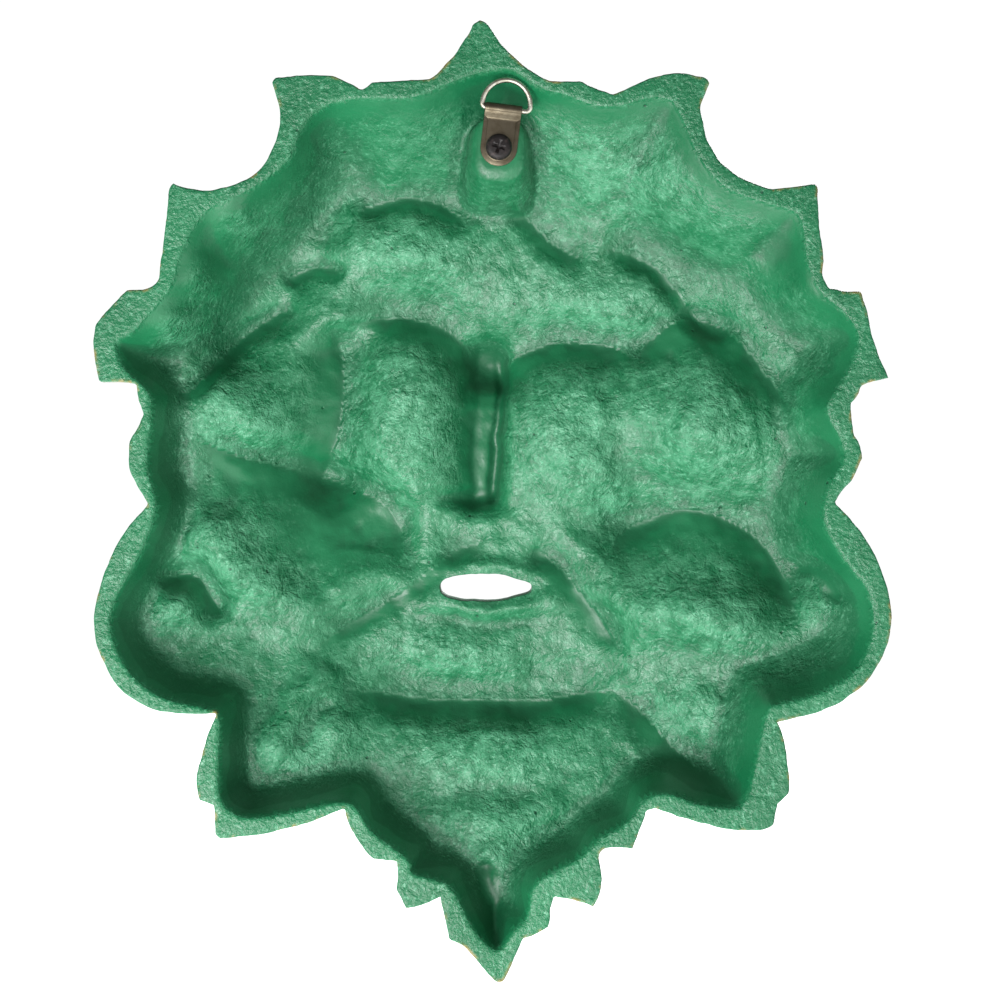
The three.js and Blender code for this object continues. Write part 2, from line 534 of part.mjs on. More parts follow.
// Points the same distance apart along a closed line of points
function spaced(loop, spacing) {
  const next = (i) => loop[(i + 1) % loop.length];
  const lengths = loop.map(([x, z], i) => Math.hypot(next(i)[0] - x, next(i)[1] - z));
  const around = lengths.reduce((sum, length) => sum + length, 0);
  const count = Math.max(fewestInRing, Math.round(around / spacing));
  const points = [];
  let travelled = 0;
  lengths.forEach((length, i) => {
    while (points.length < count && travelled + length > (points.length * around) / count) {
      points.push(fraction(loop[i], next(i), ((points.length * around) / count - travelled) / length));
    }
    travelled += length;
  });
  return points;
}

// Triangles between two rings, always across the shorter way
function joinRings(outer, inner, outerStart, innerStart) {
  const faces = [];
  let a = 0;
  let b = 0;
  const gap = (i, j) => {
    const [p, q] = [outer[i % outer.length], inner[j % inner.length]];
    return Math.hypot(p[0] - q[0], p[1] - q[1]);
  };
  while (a < outer.length || b < inner.length) {
    const outerNow = outerStart + (a % outer.length);
    const innerNow = innerStart + (b % inner.length);
    if (b >= inner.length || (a < outer.length && gap(a + 1, b) <= gap(a, b + 1))) {
      faces.push([outerNow, outerStart + ((a + 1) % outer.length), innerNow]);
      a += 1;
    } else {
      faces.push([outerNow, innerStart + ((b + 1) % inner.length), innerNow]);
      b += 1;
    }
  }
  return faces;
}

const inwardSteps = [0, 0.02, 0.05, 0.09];
while (inwardSteps.at(-1) < 1 - 1.5 * faceStep) {
  const inward = inwardSteps.at(-1);
  inwardSteps.push(inward + (inward < faceShare ? leafStep : faceStep));
}
inwardSteps.push(1);

function castingPlan() {
  const rings = [outline, ...inwardSteps.map(planRing)];
  const starts = [0];
  for (const ring of rings) {
    starts.push(starts.at(-1) + ring.length);
  }
  const faces = [];
  for (let i = 0; i + 1 < rings.length; i += 1) {
    faces.push(...joinRings(rings[i], rings[i + 1], starts[i], starts[i + 1]));
  }
  return { rings, starts, faces };
}

// A closed set of faces as a solid with its faces pointing out
function manifoldOf(vertices, faces) {
  const solid = new wasm.Manifold(new wasm.Mesh({
    numProp: 3,
    vertProperties: new Float32Array(vertices.flat()),
    triVerts: new Uint32Array(faces.flat()),
  }));
  return solid.volume() < 0 ? manifoldOf(vertices, faces.map((face) => face.toReversed())) : solid;
}

function manifoldOfGeometry(geometry) {
  geometry.deleteAttribute('normal');
  geometry.deleteAttribute('uv');
  const merged = mergeVertices(geometry.index ? geometry.toNonIndexed() : geometry, weldDistance);
  const positions = merged.attributes.position;
  const faces = [];
  for (let i = 0; i < merged.index.count; i += 3) {
    const face = [0, 1, 2].map((k) => merged.index.getX(i + k));
    if (new Set(face).size === 3) {
      faces.push(face);
    }
  }
  const vertices = Array.from({ length: positions.count }, (_, i) => [
    positions.getX(i), positions.getY(i), positions.getZ(i),
  ]);
  return manifoldOf(vertices, faces);
}

function meshOf(name, solid, material) {
  const { vertProperties, triVerts } = solid.getMesh();
  const geometry = new THREE.BufferGeometry();
  geometry.setAttribute('position', new THREE.BufferAttribute(vertProperties, 3));
  geometry.setIndex(new THREE.BufferAttribute(triVerts, 1));
  geometry.computeVertexNormals();
  const mesh = new THREE.Mesh(geometry, new THREE.MeshStandardMaterial(material));
  mesh.name = name;
  return mesh;
}

function makeCasting() {
  const { rings, starts, faces } = castingPlan();
  const points = rings.flat();
  const count = points.length;
  const mouthStart = starts[rings.length - 1];
  const mouthCount = rings.at(-1).length;
  const frontAt = (x, z, i) => {
    if (i < starts[1]) {
      return leafEdge;
    }
    return i < starts[2] ? rimFront(x, z) : frontDepth(x, z);
  };
  const backAt = (x, z, i) => (i < starts[2] ? 0 : hollowDepth(x, z));
  const front = points.map(([x, z], i) => [x, -grow * frontAt(x / grow, z / grow, i), z]);
  const back = points.map(([x, z], i) => [x, -grow * backAt(x / grow, z / grow, i), z]);
  const all = [...faces, ...faces.map(([a, b, c]) => [a + count, c + count, b + count])];
  for (let a = 0; a < outline.length; a += 1) {
    const b = (a + 1) % outline.length;
    all.push([b, a, a + count], [b, a + count, b + count]);
  }
  for (let i = 0; i < mouthCount; i += 1) {
    const a = mouthStart + i;
    const b = mouthStart + (i + 1) % mouthCount;
    all.push([a, b, b + count], [a, b + count, a + count]);
  }
  return manifoldOf([...front, ...back], all);
}

// Places on the hanger are given from the middle of the ring's bar: along it, out of the wall, up the strap
const barDepth = bossTop - clearance - strapSheet - clearance / 2;
const ringInside = ringHeight - wireRadius;
const barBelow = ringInside * Math.cos(ringTilt);
const hanger = new THREE.Group();
hanger.position.set(barBelow * Math.sin(ringLean), -barDepth, -barBelow * Math.cos(ringLean));
hanger.rotation.y = -ringLean;

function closedTube(path, radius, sides) {
  const vertices = [];
  const faces = [];
  path.forEach((point, i) => {
    const next = path[(i + 1) % path.length];
    const before = path[(i + path.length - 1) % path.length];
    const along = new THREE.Vector3().subVectors(next, before).normalize();
    const out = new THREE.Vector3(-along.z, 0, along.x);
    const start = i * sides;
    const nextStart = ((i + 1) % path.length) * sides;
    for (let k = 0; k < sides; k += 1) {
      const angle = (k / sides) * Math.PI * 2;
      const place = point.clone().addScaledVector(out, radius * Math.cos(angle));
      vertices.push([place.x, place.y + radius * Math.sin(angle), place.z]);
      const turned = (k + 1) % sides;
      faces.push([start + k, start + turned, nextStart + turned]);
      faces.push([start + k, nextStart + turned, nextStart + k]);
    }
  });
  return { vertices, faces };
}

// A quarter or half turn of the wire's middle line, without its last point
function arc(centreX, centreZ, reachX, reachZ, from, to, steps) {
  return Array.from({ length: steps }, (_, i) => {
    const angle = THREE.MathUtils.lerp(from, to, i / steps);
    return new THREE.Vector3(centreX + reachX * Math.cos(angle), 0, centreZ + reachZ * Math.sin(angle));
  });
}

function makeRing() {
  const barHalf = ringHalfWidth - ringShoulder;
  const quarter = Math.PI / 2;
  const bow = ringHeight - ringShoulder;
  const path = [
    new THREE.Vector3(0, 0, 0),
    ...arc(barHalf, ringShoulder, ringShoulder, ringShoulder, -quarter, 0, 3),
    ...arc(0, ringShoulder, ringHalfWidth, bow, 0, 2 * quarter, 20),
    ...arc(-barHalf, ringShoulder, ringShoulder, ringShoulder, 2 * quarter, 3 * quarter, 3),
    new THREE.Vector3(-barHalf, 0, 0),
  ];
  const { vertices, faces } = closedTube(path, wireRadius, wireSides);
  return manifoldOf(vertices, faces);
}

function extruded(shape, depth) {
  return new THREE.ExtrudeGeometry(shape, { depth, bevelEnabled: false, curveSegments: curveSteps });
}

// Side of the folded strip: both sheets and the eye that they make round the bar
function strapSide() {
  const innerRadius = wireRadius + clearance;
  const outerRadius = innerRadius + strapSheet;
  const halfGap = clearance / 2;
  const end = -(screwReach + strapWidth);
  const side = new THREE.Shape();
  const outerAngle = Math.asin((halfGap + strapSheet) / outerRadius);
  const innerAngle = Math.asin(halfGap / innerRadius);
  side.moveTo(end, halfGap + strapSheet);
  side.absarc(0, 0, outerRadius, Math.PI - outerAngle, -Math.PI + outerAngle, true);
  side.lineTo(end, -halfGap - strapSheet);
  side.lineTo(end, -halfGap);
  side.absarc(0, 0, innerRadius, -Math.PI + innerAngle, Math.PI - innerAngle, false);
  side.lineTo(end, halfGap);
  side.closePath();
  const geometry = extruded(side, strapEyeWidth);
  geometry.translate(0, 0, -strapEyeWidth / 2);
  geometry.rotateY(-Math.PI / 2);
  return manifoldOfGeometry(geometry);
}

// Plan of one sheet: as wide as the eye at the bar, then narrower down to a round end at the screw
function sheetPlan(width, endBelow, thickness) {
  const plan = new THREE.Shape();
  const half = width / 2;
  const eyeHalf = strapEyeWidth / 2;
  const eyeTop = wireRadius + clearance + 2 * strapSheet;
  plan.moveTo(-eyeHalf, eyeTop);
  plan.lineTo(-eyeHalf, eyeTop - strapEyeLength - strapSheet);
  plan.lineTo(-half, eyeTop - strapEyeLength - 2 * strapSheet);
  plan.lineTo(-half, -endBelow + half);
  plan.absarc(0, -endBelow + half, half, Math.PI, Math.PI * 2, false);
  plan.lineTo(half, eyeTop - strapEyeLength - 2 * strapSheet);
  plan.lineTo(eyeHalf, eyeTop - strapEyeLength - strapSheet);
  plan.lineTo(eyeHalf, eyeTop);
  plan.closePath();
  const geometry = extruded(plan, thickness);
  geometry.rotateX(Math.PI / 2);
  geometry.translate(0, thickness / 2, 0);
  return manifoldOfGeometry(geometry);
}

// A hole for the shank, along the screw from one depth to another
function shankHole(from, to) {
  const radius = shankRadius + clearance;
  const geometry = new THREE.CylinderGeometry(radius, radius, to - from, holeSides);
  geometry.translate(ringSlip, (from + to) / 2, -screwReach);
  return manifoldOfGeometry(geometry);
}

function makeStrap() {
  const lowerEnd = screwReach + strapWidth / 2 + strapEnd;
  const upperEnd = screwReach + strapTopWidth / 2;
  const tall = 4 * (wireRadius + clearance + strapSheet);
  const folded = strapSide().intersect(sheetPlan(strapWidth, lowerEnd, tall));
  const upperHalf = new THREE.BoxGeometry(2 * strapEyeWidth, tall / 2, 4 * screwReach);
  upperHalf.translate(0, tall / 4, 0);
  const trimmed = manifoldOfGeometry(upperHalf).subtract(sheetPlan(strapTopWidth, upperEnd, tall));
  return folded.subtract(trimmed).translate([ringSlip, 0, 0]).subtract(shankHole(-tall, tall));
}

const headUnderside = clearance / 2 + strapSheet + clearance;

// The head is a shallow pan with a cross cut into its top
const headWall = 0.45;
const headShoulder = [0.82, 0.85];
const headFlat = 0.45;
const crossReach = 1.05;
const crossWidth = 0.22;
function makeScrew() {
  const top = headUnderside + headHeight;
  const profile = [
    [0, headUnderside - shankLength - 2 * shankRadius],
    [shankRadius, headUnderside - shankLength],
    [shankRadius, headUnderside],
    [headRadius, headUnderside],
    [headRadius, headUnderside + headHeight * headWall],
    [headRadius * headShoulder[0], headUnderside + headHeight * headShoulder[1]],
    [headRadius * headFlat, top],
    [0, top],
  ].map(([radius, y]) => new THREE.Vector2(radius, y));
  let screw = manifoldOfGeometry(new THREE.LatheGeometry(profile, screwSides));
  for (const turn of [0, Math.PI / 2]) {
    const slot = new THREE.BoxGeometry(headRadius * crossReach, headHeight, headRadius * crossWidth);
    slot.rotateY(turn);
    slot.translate(0, top, 0);
    screw = screw.subtract(manifoldOfGeometry(slot));
  }
  return screw.translate([ringSlip, 0, -screwReach]);
}

function atHanger(solid) {
  hanger.updateMatrixWorld();
  return solid.transform(hanger.matrixWorld.elements);
}

// The boss rises from the hollow's floor to the strap and is wider at its root
function makeBoss() {
  const centre = new THREE.Vector3(ringSlip, 0, -screwReach).applyMatrix4(hanger.matrixWorld);
  const vertices = [];
  const faces = [];
  const level = (spread, share, depthAt) => {
    for (let i = 0; i < bossSides; i += 1) {
      const angle = (i / bossSides) * Math.PI * 2;
      const [c, s] = [Math.cos(angle), Math.sin(angle)];
      const square = (Math.abs(c) ** bossSquareness + Math.abs(s) ** bossSquareness) ** (-1 / bossSquareness);
      const reach = s > 0 ? bossRise : bossDrop + bossDropDraft * spread;
      const x = centre.x + share * c * square * (bossWidth / 2 + bossDraft * spread);
      const z = centre.z + share * s * square * reach;
      vertices.push([x, -depthAt(x, z), z]);
    }
  };
  const rootDepth = (x, z) => grow * (hollowDepth(x / grow, z / grow) + wall / 2);
  level(0, 1, () => bossTop);
  for (const share of bossRootShares) {
    level(1, share, rootDepth);
  }
  vertices.push([centre.x, -rootDepth(centre.x, centre.z), centre.z]);
  const last = vertices.length - 1;
  for (let i = 0; i < bossSides; i += 1) {
    const j = (i + 1) % bossSides;
    for (let start = 0; start + bossSides < last; start += bossSides) {
      const under = start + bossSides;
      faces.push([start + i, under + j, start + j], [start + i, under + i, under + j]);
    }
    faces.push([last - bossSides + i, last, last - bossSides + j]);
    if (i > 0 && j > 0) {
      faces.push([0, i, j]);
    }
  }
  return manifoldOf(vertices, faces);
}

function makeMask() {
  const holeEnd = headUnderside - shankLength - 4 * shankRadius;
  return makeCasting().add(makeBoss()).subtract(atHanger(shankHole(holeEnd, headUnderside)));
}

hanger.updateMatrixWorld();
const ring = makeRing().rotate([THREE.MathUtils.radToDeg(-ringTilt), 0, 0]);

const mask = new THREE.Group();
mask.add(meshOf('mask', makeMask(), greenPaint));
hanger.add(meshOf('hanger_strap', makeStrap(), bronzedSteel));
hanger.add(meshOf('hanger_ring', ring, nickel));
hanger.add(meshOf('hanger_screw', makeScrew(), blackSteel));
mask.add(hanger);

export default mask;
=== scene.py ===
"""Green man mask from behind: a hollow cast wall mask with satin green paint, and the ring it hangs by.

Forms are in millimetres in the row's frame: the wall is the plane Y = 0, the face looks along -Y
and the origin is the inside of the ring's bow. Meshes are made in metres.
"""
from collections import namedtuple
from math import asin, cos, hypot, pi, radians, sin

import bpy
import numpy as np
from mathutils import Matrix, Vector, noise
from mathutils.geometry import delaunay_2d_cdt


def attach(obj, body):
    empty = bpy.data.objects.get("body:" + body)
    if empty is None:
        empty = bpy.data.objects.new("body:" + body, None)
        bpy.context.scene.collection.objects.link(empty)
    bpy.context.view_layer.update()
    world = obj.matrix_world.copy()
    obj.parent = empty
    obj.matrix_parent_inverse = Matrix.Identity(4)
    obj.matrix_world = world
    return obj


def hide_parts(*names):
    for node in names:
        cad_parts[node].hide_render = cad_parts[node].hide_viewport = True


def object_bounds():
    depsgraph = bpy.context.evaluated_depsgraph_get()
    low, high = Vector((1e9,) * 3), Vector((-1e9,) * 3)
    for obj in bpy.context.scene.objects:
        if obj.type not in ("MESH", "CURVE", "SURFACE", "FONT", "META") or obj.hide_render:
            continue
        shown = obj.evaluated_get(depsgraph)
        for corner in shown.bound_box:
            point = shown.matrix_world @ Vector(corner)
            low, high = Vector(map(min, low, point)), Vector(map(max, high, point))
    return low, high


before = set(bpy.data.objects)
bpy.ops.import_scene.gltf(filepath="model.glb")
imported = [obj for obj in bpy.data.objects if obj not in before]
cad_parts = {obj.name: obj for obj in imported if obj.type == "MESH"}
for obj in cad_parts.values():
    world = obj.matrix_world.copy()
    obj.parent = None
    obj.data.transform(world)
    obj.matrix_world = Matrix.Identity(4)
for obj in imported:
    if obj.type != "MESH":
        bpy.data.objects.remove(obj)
cad_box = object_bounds()

MM = 0.001

# The casting, in millimetres
GRID = 1.0
LINE_SPACING = 0.8
WALL = 5
LEAST_WALL = 4.2
SIDE_WALL = 3.4
SIDE_WALL_FRONT = 1.5
SIDE_DEPTH = 14.5
SIDE_REACH = 4.2
SIDE_WIDTH = 6.5
SIDE_WIDER_RIGHT = 5
SIDE_WIDER_TOP = 18
SIDE_WIDER_UPPER_LEFT = 11
SIDE_CURVE = 1.5
SLOPE_SOFTNESS = 0.02
CREASE_ROUND = 0.7
DOME_DEPTH = 19.5
DOME_AT = (6, -112)
DOME_REACH = (118, 140)
LEAF_EDGE = 6
RIM_RISE = 11
FACE_RISE = 8.5
DOME_SINK = 0.5
LEAF_FALL = 0.88
LEAF_SLIM = 0.86
FACE_REACH_IN = 10
LEAF_REACH_IN = 5
LEAF_SOONER = 3
BODY_REACH_IN = 8
FRONT_BLEND = 1.2
RIM_BLEND = 5
EDGE_ROUND = 0.35
ROUND_ANGLES = (30, 60, 90)
WALL_STEPS = 4
RIM_ROUND = 0.5
RIM_DROP = 0.15

# Where the side of the hollow gets wider: from here, over so many millimetres
TO_THE_RIGHT = (20, 60)
TO_THE_TOP = (-75, 55)
SHORT_OF_THE_LEFT = (-60, 30)
ABOVE_THE_LEFT_EYE = (-80, 22)
TO_THE_LEFT = (44, 20)

# Folds, and how far the smooth recess reaches over a deep one's slope
RECESS_GAIN = 1.6
FOLD_SAMPLES = 6
FOLD_REACH = 2.6
FOLD_ENDS = 0.22
DEEP_FOLD = 2

# A leaf's blade, in shares of its length and width, with its rib, veins and lobes in millimetres
LEAF_SHOULDER = 0.45
LEAF_TAPER = 0.6
LEAF_ROOT = (0.7, 0.3)
LOBE_LENGTH = 9
LOBE_LEAN = 14
LOBE_DEPTH = 0.16
RIB_RISE = 1.5
RIB_WIDTH = 1.5
VEIN_DEPTH = 0.8
VEIN_SHARPNESS = 2.2
VEIN_END = 0.85

# Noise: how its finer octaves weaken, and how much finer each one is
NOISE_FALL = 0.9
NOISE_STEP = 2.1

# Unevenness of the cast: (height, size of its lumps, seed)
LUMPS = ((0.6, 13, 3.1), (0.4, 5, 7.7))
FRONT_GRAIN = (0.25, 5, 21.5)
FRONT_GRAIN_IN = 3
OUTLINE_GRAIN = (0.3, 5, 33.1)
OUTLINE_RAGGED = (-0.5, 0.15)
WALL_GRAIN = (0.12, 3, 41)
WALL_RAGGED = (-0.25, 0)
MOUTH_GRAIN = (0.22, 3.5, 5.3)
MOUTH_GRAIN_REACH = (12, 4)
STRAY = 1.3
STRAY_SIZE = 14
STRAY_SEEDS = (11.3, 27.9)
STRAY_REACH_IN = 8
LUMPS_REACH_IN = 6

# The plan of the casting's mesh, and how rough its paint is off the hollow, which also sets its painted
# sheen and glints there
PLAN_X = (-106, 114)
PLAN_Z = (-240, 20)
OUTLINE_STEP = 0.5
HOLLOW_SAMPLES = 12
MERGE_WITHIN = 1e-5
ON_EDGE = 1e-3
RELIEF_ROUNDS = 12
ROUGH_RIM = 0.6
ROUGH_FRONT = 0.5
ROUGH_FROM_WALL = 0.1
ROUGH_FROM_BOSS = -0.5
FAR_FROM_OUTLINE = 9.0

# The boss under the strap
BOSS_TOP = 4.3
BOSS_HALF_WIDTH = 6.8
BOSS_RISE = 8.4
BOSS_DROP = 8.6
BOSS_DRAFT = 5
BOSS_DROP_DRAFT = 8
BOSS_SQUARENESS = 3
BOSS_CHAMFER = 1.1
BOSS_EDGE = 0.3
BOSS_SLOPE = 24
BOSS_CURVE = 0.92
BOSS_SPREAD = 2
BOSS_FILLET = 0.45
BOSS_RINGS = (-0.3, 0, 0.35, 0.75)
BOSS_LOWEST, BOSS_HIGHEST, BOSS_HALVINGS = -1.0, 2.5, 18

# The ring, its strap and its screw. WIRE_SEEN and STRIP are drawn a little thinner than the CAD's wire
# radius and sheet.
WIRE_RADIUS = 0.8
WIRE_SEEN = 0.72
RING_HALF_WIDTH = 6.4
RING_HEIGHT = 7.7
RING_SHOULDER = 1.1
RING_LEAN = radians(7)
RING_TILT = radians(8)
RING_SLIP = 0.6
SHEET = 0.8
CLEARANCE = 0.3
STRIP = 0.6
UPPER_SHEET_AT = -0.25
LOWER_SHEET_AT = -0.9
STRAP_HALF_WIDTH = 4.9
STRAP_EYE_HALF = 4.9
STRAP_EYE_LENGTH = 2.6
STRAP_TOP_HALF = 3.8
SCREW_REACH = 10.2
HEAD_RADIUS = 3.5
HEAD_HEIGHT = 1.7
SHANK_RADIUS = 1.45
SHANK_LENGTH = 10
HEAD_ROUND = 1.5
HEAD_CHAMFER = 0.15
HEAD_EDGE = 0.6
HEAD_SHOULDER = 0.4
HEAD_CROWN = 0.3
SCREW_TURN = 12
SCREW_TIP = 2.5
TIP_RADIUS = 0.2
TIP_ROUND = 0.1
SCREW_SIDES = 64
THREAD_STEPS = 34
THREAD_STEP = 0.24
THREAD_DEPTH = 0.3
PLAY = 0.05
WIRE_SIDES = 20
BAR_STEPS, SHOULDER_STEPS, BOW_STEPS = 16, 8, 56
STRAP_FOLD = 2.2
STRAP_NECK = 1.2
LOWER_FROM_BAR = 0.2
UPPER_FROM_BAR = 0.1
STRAP_TIP = 0.0016
STRAP_CORNER = 0.16
STRAP_STEPS = (60, 40, 70)

# The cross in the screw's head: (above the top, reach, half width) of its mouth and its floor
CROSS_LEVELS = ((0.5, 2.1, 0.5), (-1.3, 1.0, 0.26))

# The photograph's scale and view: 984 pixels across, 0.264 mm each on the wall's plane
PIXEL = 0.264
PHOTO_SIZE = 984
RING_PIXEL = (509, 82)
CAMERA_DISTANCE = 750
SENSOR = 36
CLIP = (0.01, 20)

# The studio: strength of the surrounding light on the object and as the camera sees it, and the lights
# as (name, direction from the mask, distance, size, watts, whether they cast shadows)
AMBIENT = 0.25
BACKDROP = 1.05
WHITE = (1, 1, 1, 1)
FLOOR_COLOURS = ((0.86, 0.86, 0.85, 1), (0.9, 0.9, 0.89, 1))
FLOOR_RADIUS = 1800
FLOOR_SIDES = 96
LIGHTS_AIM = -20
LIGHTS = (
    ("key behind", (0.41, 0.79, -0.46), 640, 300, 3.4, True),
    ("key behind, shadowless", (0.41, 0.79, -0.46), 640, 300, 2.6, False),
    ("soft light behind", (0.4, 0.9, -0.4), 1200, 800, 1.6, True),
    ("key in front", (-0.55, -0.8, 0.6), 900, 450, 9, True),
    ("fill in front", (0.8, -0.8, 0.1), 1000, 700, 3, True),
)

Swell = namedtuple("Swell", "name at radius depth power turn", defaults=(2, 0))
Fold = namedtuple("Fold", "name depth width line sharp floor", defaults=((0, 0), 0))

# Outline of the leaves, anticlockwise seen from the front: (x, z, bulge of the stretch before it)
OUTLINE = [
    (7.7, 16.3, 0), (5.8, 15.4, 0.2), (3.2, 11.4, 0), (-10.8, 0.3, -1.1), (-19, 0.3, 0),
    (-27.2, -3.2, -0.3), (-38, 1.3, 0), (-47.3, 2.1, 0.5), (-51.5, 1.2, 0), (-53.1, -0.3, 0.3),
    (-50.7, -6.3, -0.3), (-69.2, -28.2, -5.5), (-80.5, -26.9, -0.3), (-81.6, -28.2, 0.3),
    (-82.6, -43, -0.3), (-83.2, -47.5, 0), (-82.9, -51.5, -0.4), (-84.5, -54.4, 0),
    (-92.9, -55.4, -0.3), (-94.5, -60.2, 0), (-97.3, -71.3, -0.3), (-100.1, -78.1, 0),
    (-92.9, -80.4, -0.3), (-90.2, -84.7, 0.5), (-91.3, -93.2, -0.3), (-93.2, -99.3, 0.5),
    (-90.3, -105.6, 0), (-86, -111.1, -0.3), (-101.1, -139.4, 2.9), (-86, -164.5, 4.5),
    (-70.9, -169, 0.5), (-73.7, -181.1, 0.5), (-73.9, -187.7, 0.3), (-70.9, -190.6, 0),
    (-70, -195.9, 0), (-66.5, -197.5, 0.4), (-56.2, -196.9, 0.3), (-38.5, -191.7, 0.4),
    (-36.2, -192.5, 0), (-32.5, -202.5, 0.4), (-25.3, -202.2, -0.4), (-23.9, -204.6, -0.3),
    (-24.6, -211.7, 0), (-22.2, -217.8, 0.5), (-11.8, -214.9, -0.3), (-10.8, -218.1, 0),
    (-10.3, -223.1, 0.3), (-3.7, -226.2, 0.3), (-1.8, -230.2, 0), (1.6, -237.6, 0.3), (4, -237.3, 0.3),
    (11.1, -228.9, 0), (15.8, -226.5, -0.3), (17.2, -219.9, 0), (18.2, -215.2, 0), (27.2, -218.2, 0.3),
    (29.6, -213.3, 0), (29.6, -205.7, -0.3), (35.9, -205.1, 0), (43.4, -191.9, 1.1), (55.5, -196.4, 0),
    (76.6, -199.8, 0.5), (77.9, -198.5, 0), (78.1, -190.9, -0.3), (81.6, -189.6, 0),
    (82.4, -183.2, 0.3), (77.2, -166.7, 0.5), (92.1, -166.1, 0.5), (105.3, -156.8, 1.6),
    (109.6, -140.4, 1.3), (95.3, -111.4, 2.6), (99.8, -103.5, 0), (100.1, -94.8, 0.5), (96.4, -87.9, 0),
    (97.8, -84, 0), (98.6, -79.7, -0.1), (108.2, -79.2, -0.3), (109.8, -68.4, 0.3), (109.3, -64.4, 0),
    (100.8, -55.1, 0.5), (94.8, -54.3, 0), (92.4, -52, -0.3), (90, -30.1, 0), (88.7, -26.8, 0.3),
    (80.3, -28.5, -0.5), (60.5, -10.6, -5.5), (62.6, 0, -0.5), (61.5, 1.3, 0), (46.5, 1.6, 0.3),
    (39.1, -2.1, 0.3), (36.4, -0.1, -0.3), (20.9, 0.8, 0), (9.5, 15.2, -1.1),
]

# Edge of the hollow in the flat rim, the same way round, a smooth curve through these points
HOLLOW_POINTS = [
    (9.5, 2), (4.2, 3.2), (-0.8, 3.2), (-8.7, -1.6), (-14.8, -3.2), (-21.6, -5.8), (-28.2, -6.3),
    (-37.5, -4), (-42.8, -4.8), (-45.1, -7.9), (-49.4, -18), (-54.1, -24.7), (-59.7, -29),
    (-70.2, -32.5), (-76, -34.6), (-77.9, -39.6), (-78.9, -47.5), (-82.6, -55.4), (-89, -61.2),
    (-92.4, -67.6), (-89.8, -76), (-84.7, -84), (-84.5, -88.2), (-88.2, -95.6), (-88.2, -100.3),
    (-84.5, -107.2), (-83.3, -115.6), (-87.6, -124.6), (-94.2, -133.3), (-96.2, -139.9),
    (-95.6, -147.8), (-91.6, -155.5), (-82.1, -161.4), (-71.8, -164.2), (-68.4, -166.6),
    (-64.9, -181.9), (-63.4, -188.2), (-59.7, -191.7), (-50.4, -190.7), (-42, -188), (-35.9, -189.6),
    (-31.4, -195.4), (-24, -199.8), (-18.4, -205.1), (-9, -210.1), (-6.1, -214.1), (-5, -220.4),
    (-1.3, -224.4), (3.2, -229.4), (9.5, -223.6), (14.5, -213.8), (17.4, -211.3), (25.6, -208.8),
    (26.7, -205.4), (36.4, -197.7), (40.4, -191.7), (44.6, -190.3), (56.8, -192.7), (67.8, -194.4),
    (73.4, -192.7), (76.6, -188), (76.8, -177.9), (76.8, -167.4), (80.8, -165.3), (92.1, -162.4),
    (100.6, -155.5), (105.1, -145.7), (104.5, -137.8), (97.2, -123.8), (93.5, -112.2), (95.6, -101.1),
    (94.5, -86.9), (95.8, -81.3), (101.6, -75.5), (103.8, -68.9), (99, -65.5), (89.5, -54.1),
    (86.9, -45.7), (80.3, -34.3), (68.4, -28.2), (58.6, -20.6), (54.4, -11.1), (47.8, -5.9),
    (37.5, -4.2), (25.6, -4), (16.6, -0.5),
]

# The open lips
MOUTH_AT = (6.2, -134.6)
MOUTH_HALF = (12.7, 3.8)
MOUTH_ROUND = 0.35
MOUTH_SQUARENESS = 2.5
MOUTH_POINT = 0.45
MOUTH_POINT_SLOPE = 1.2
MOUTH_POINT_FROM = 0.2
LIP_RISE = 1.6
LIP_WIDTH = 2.2

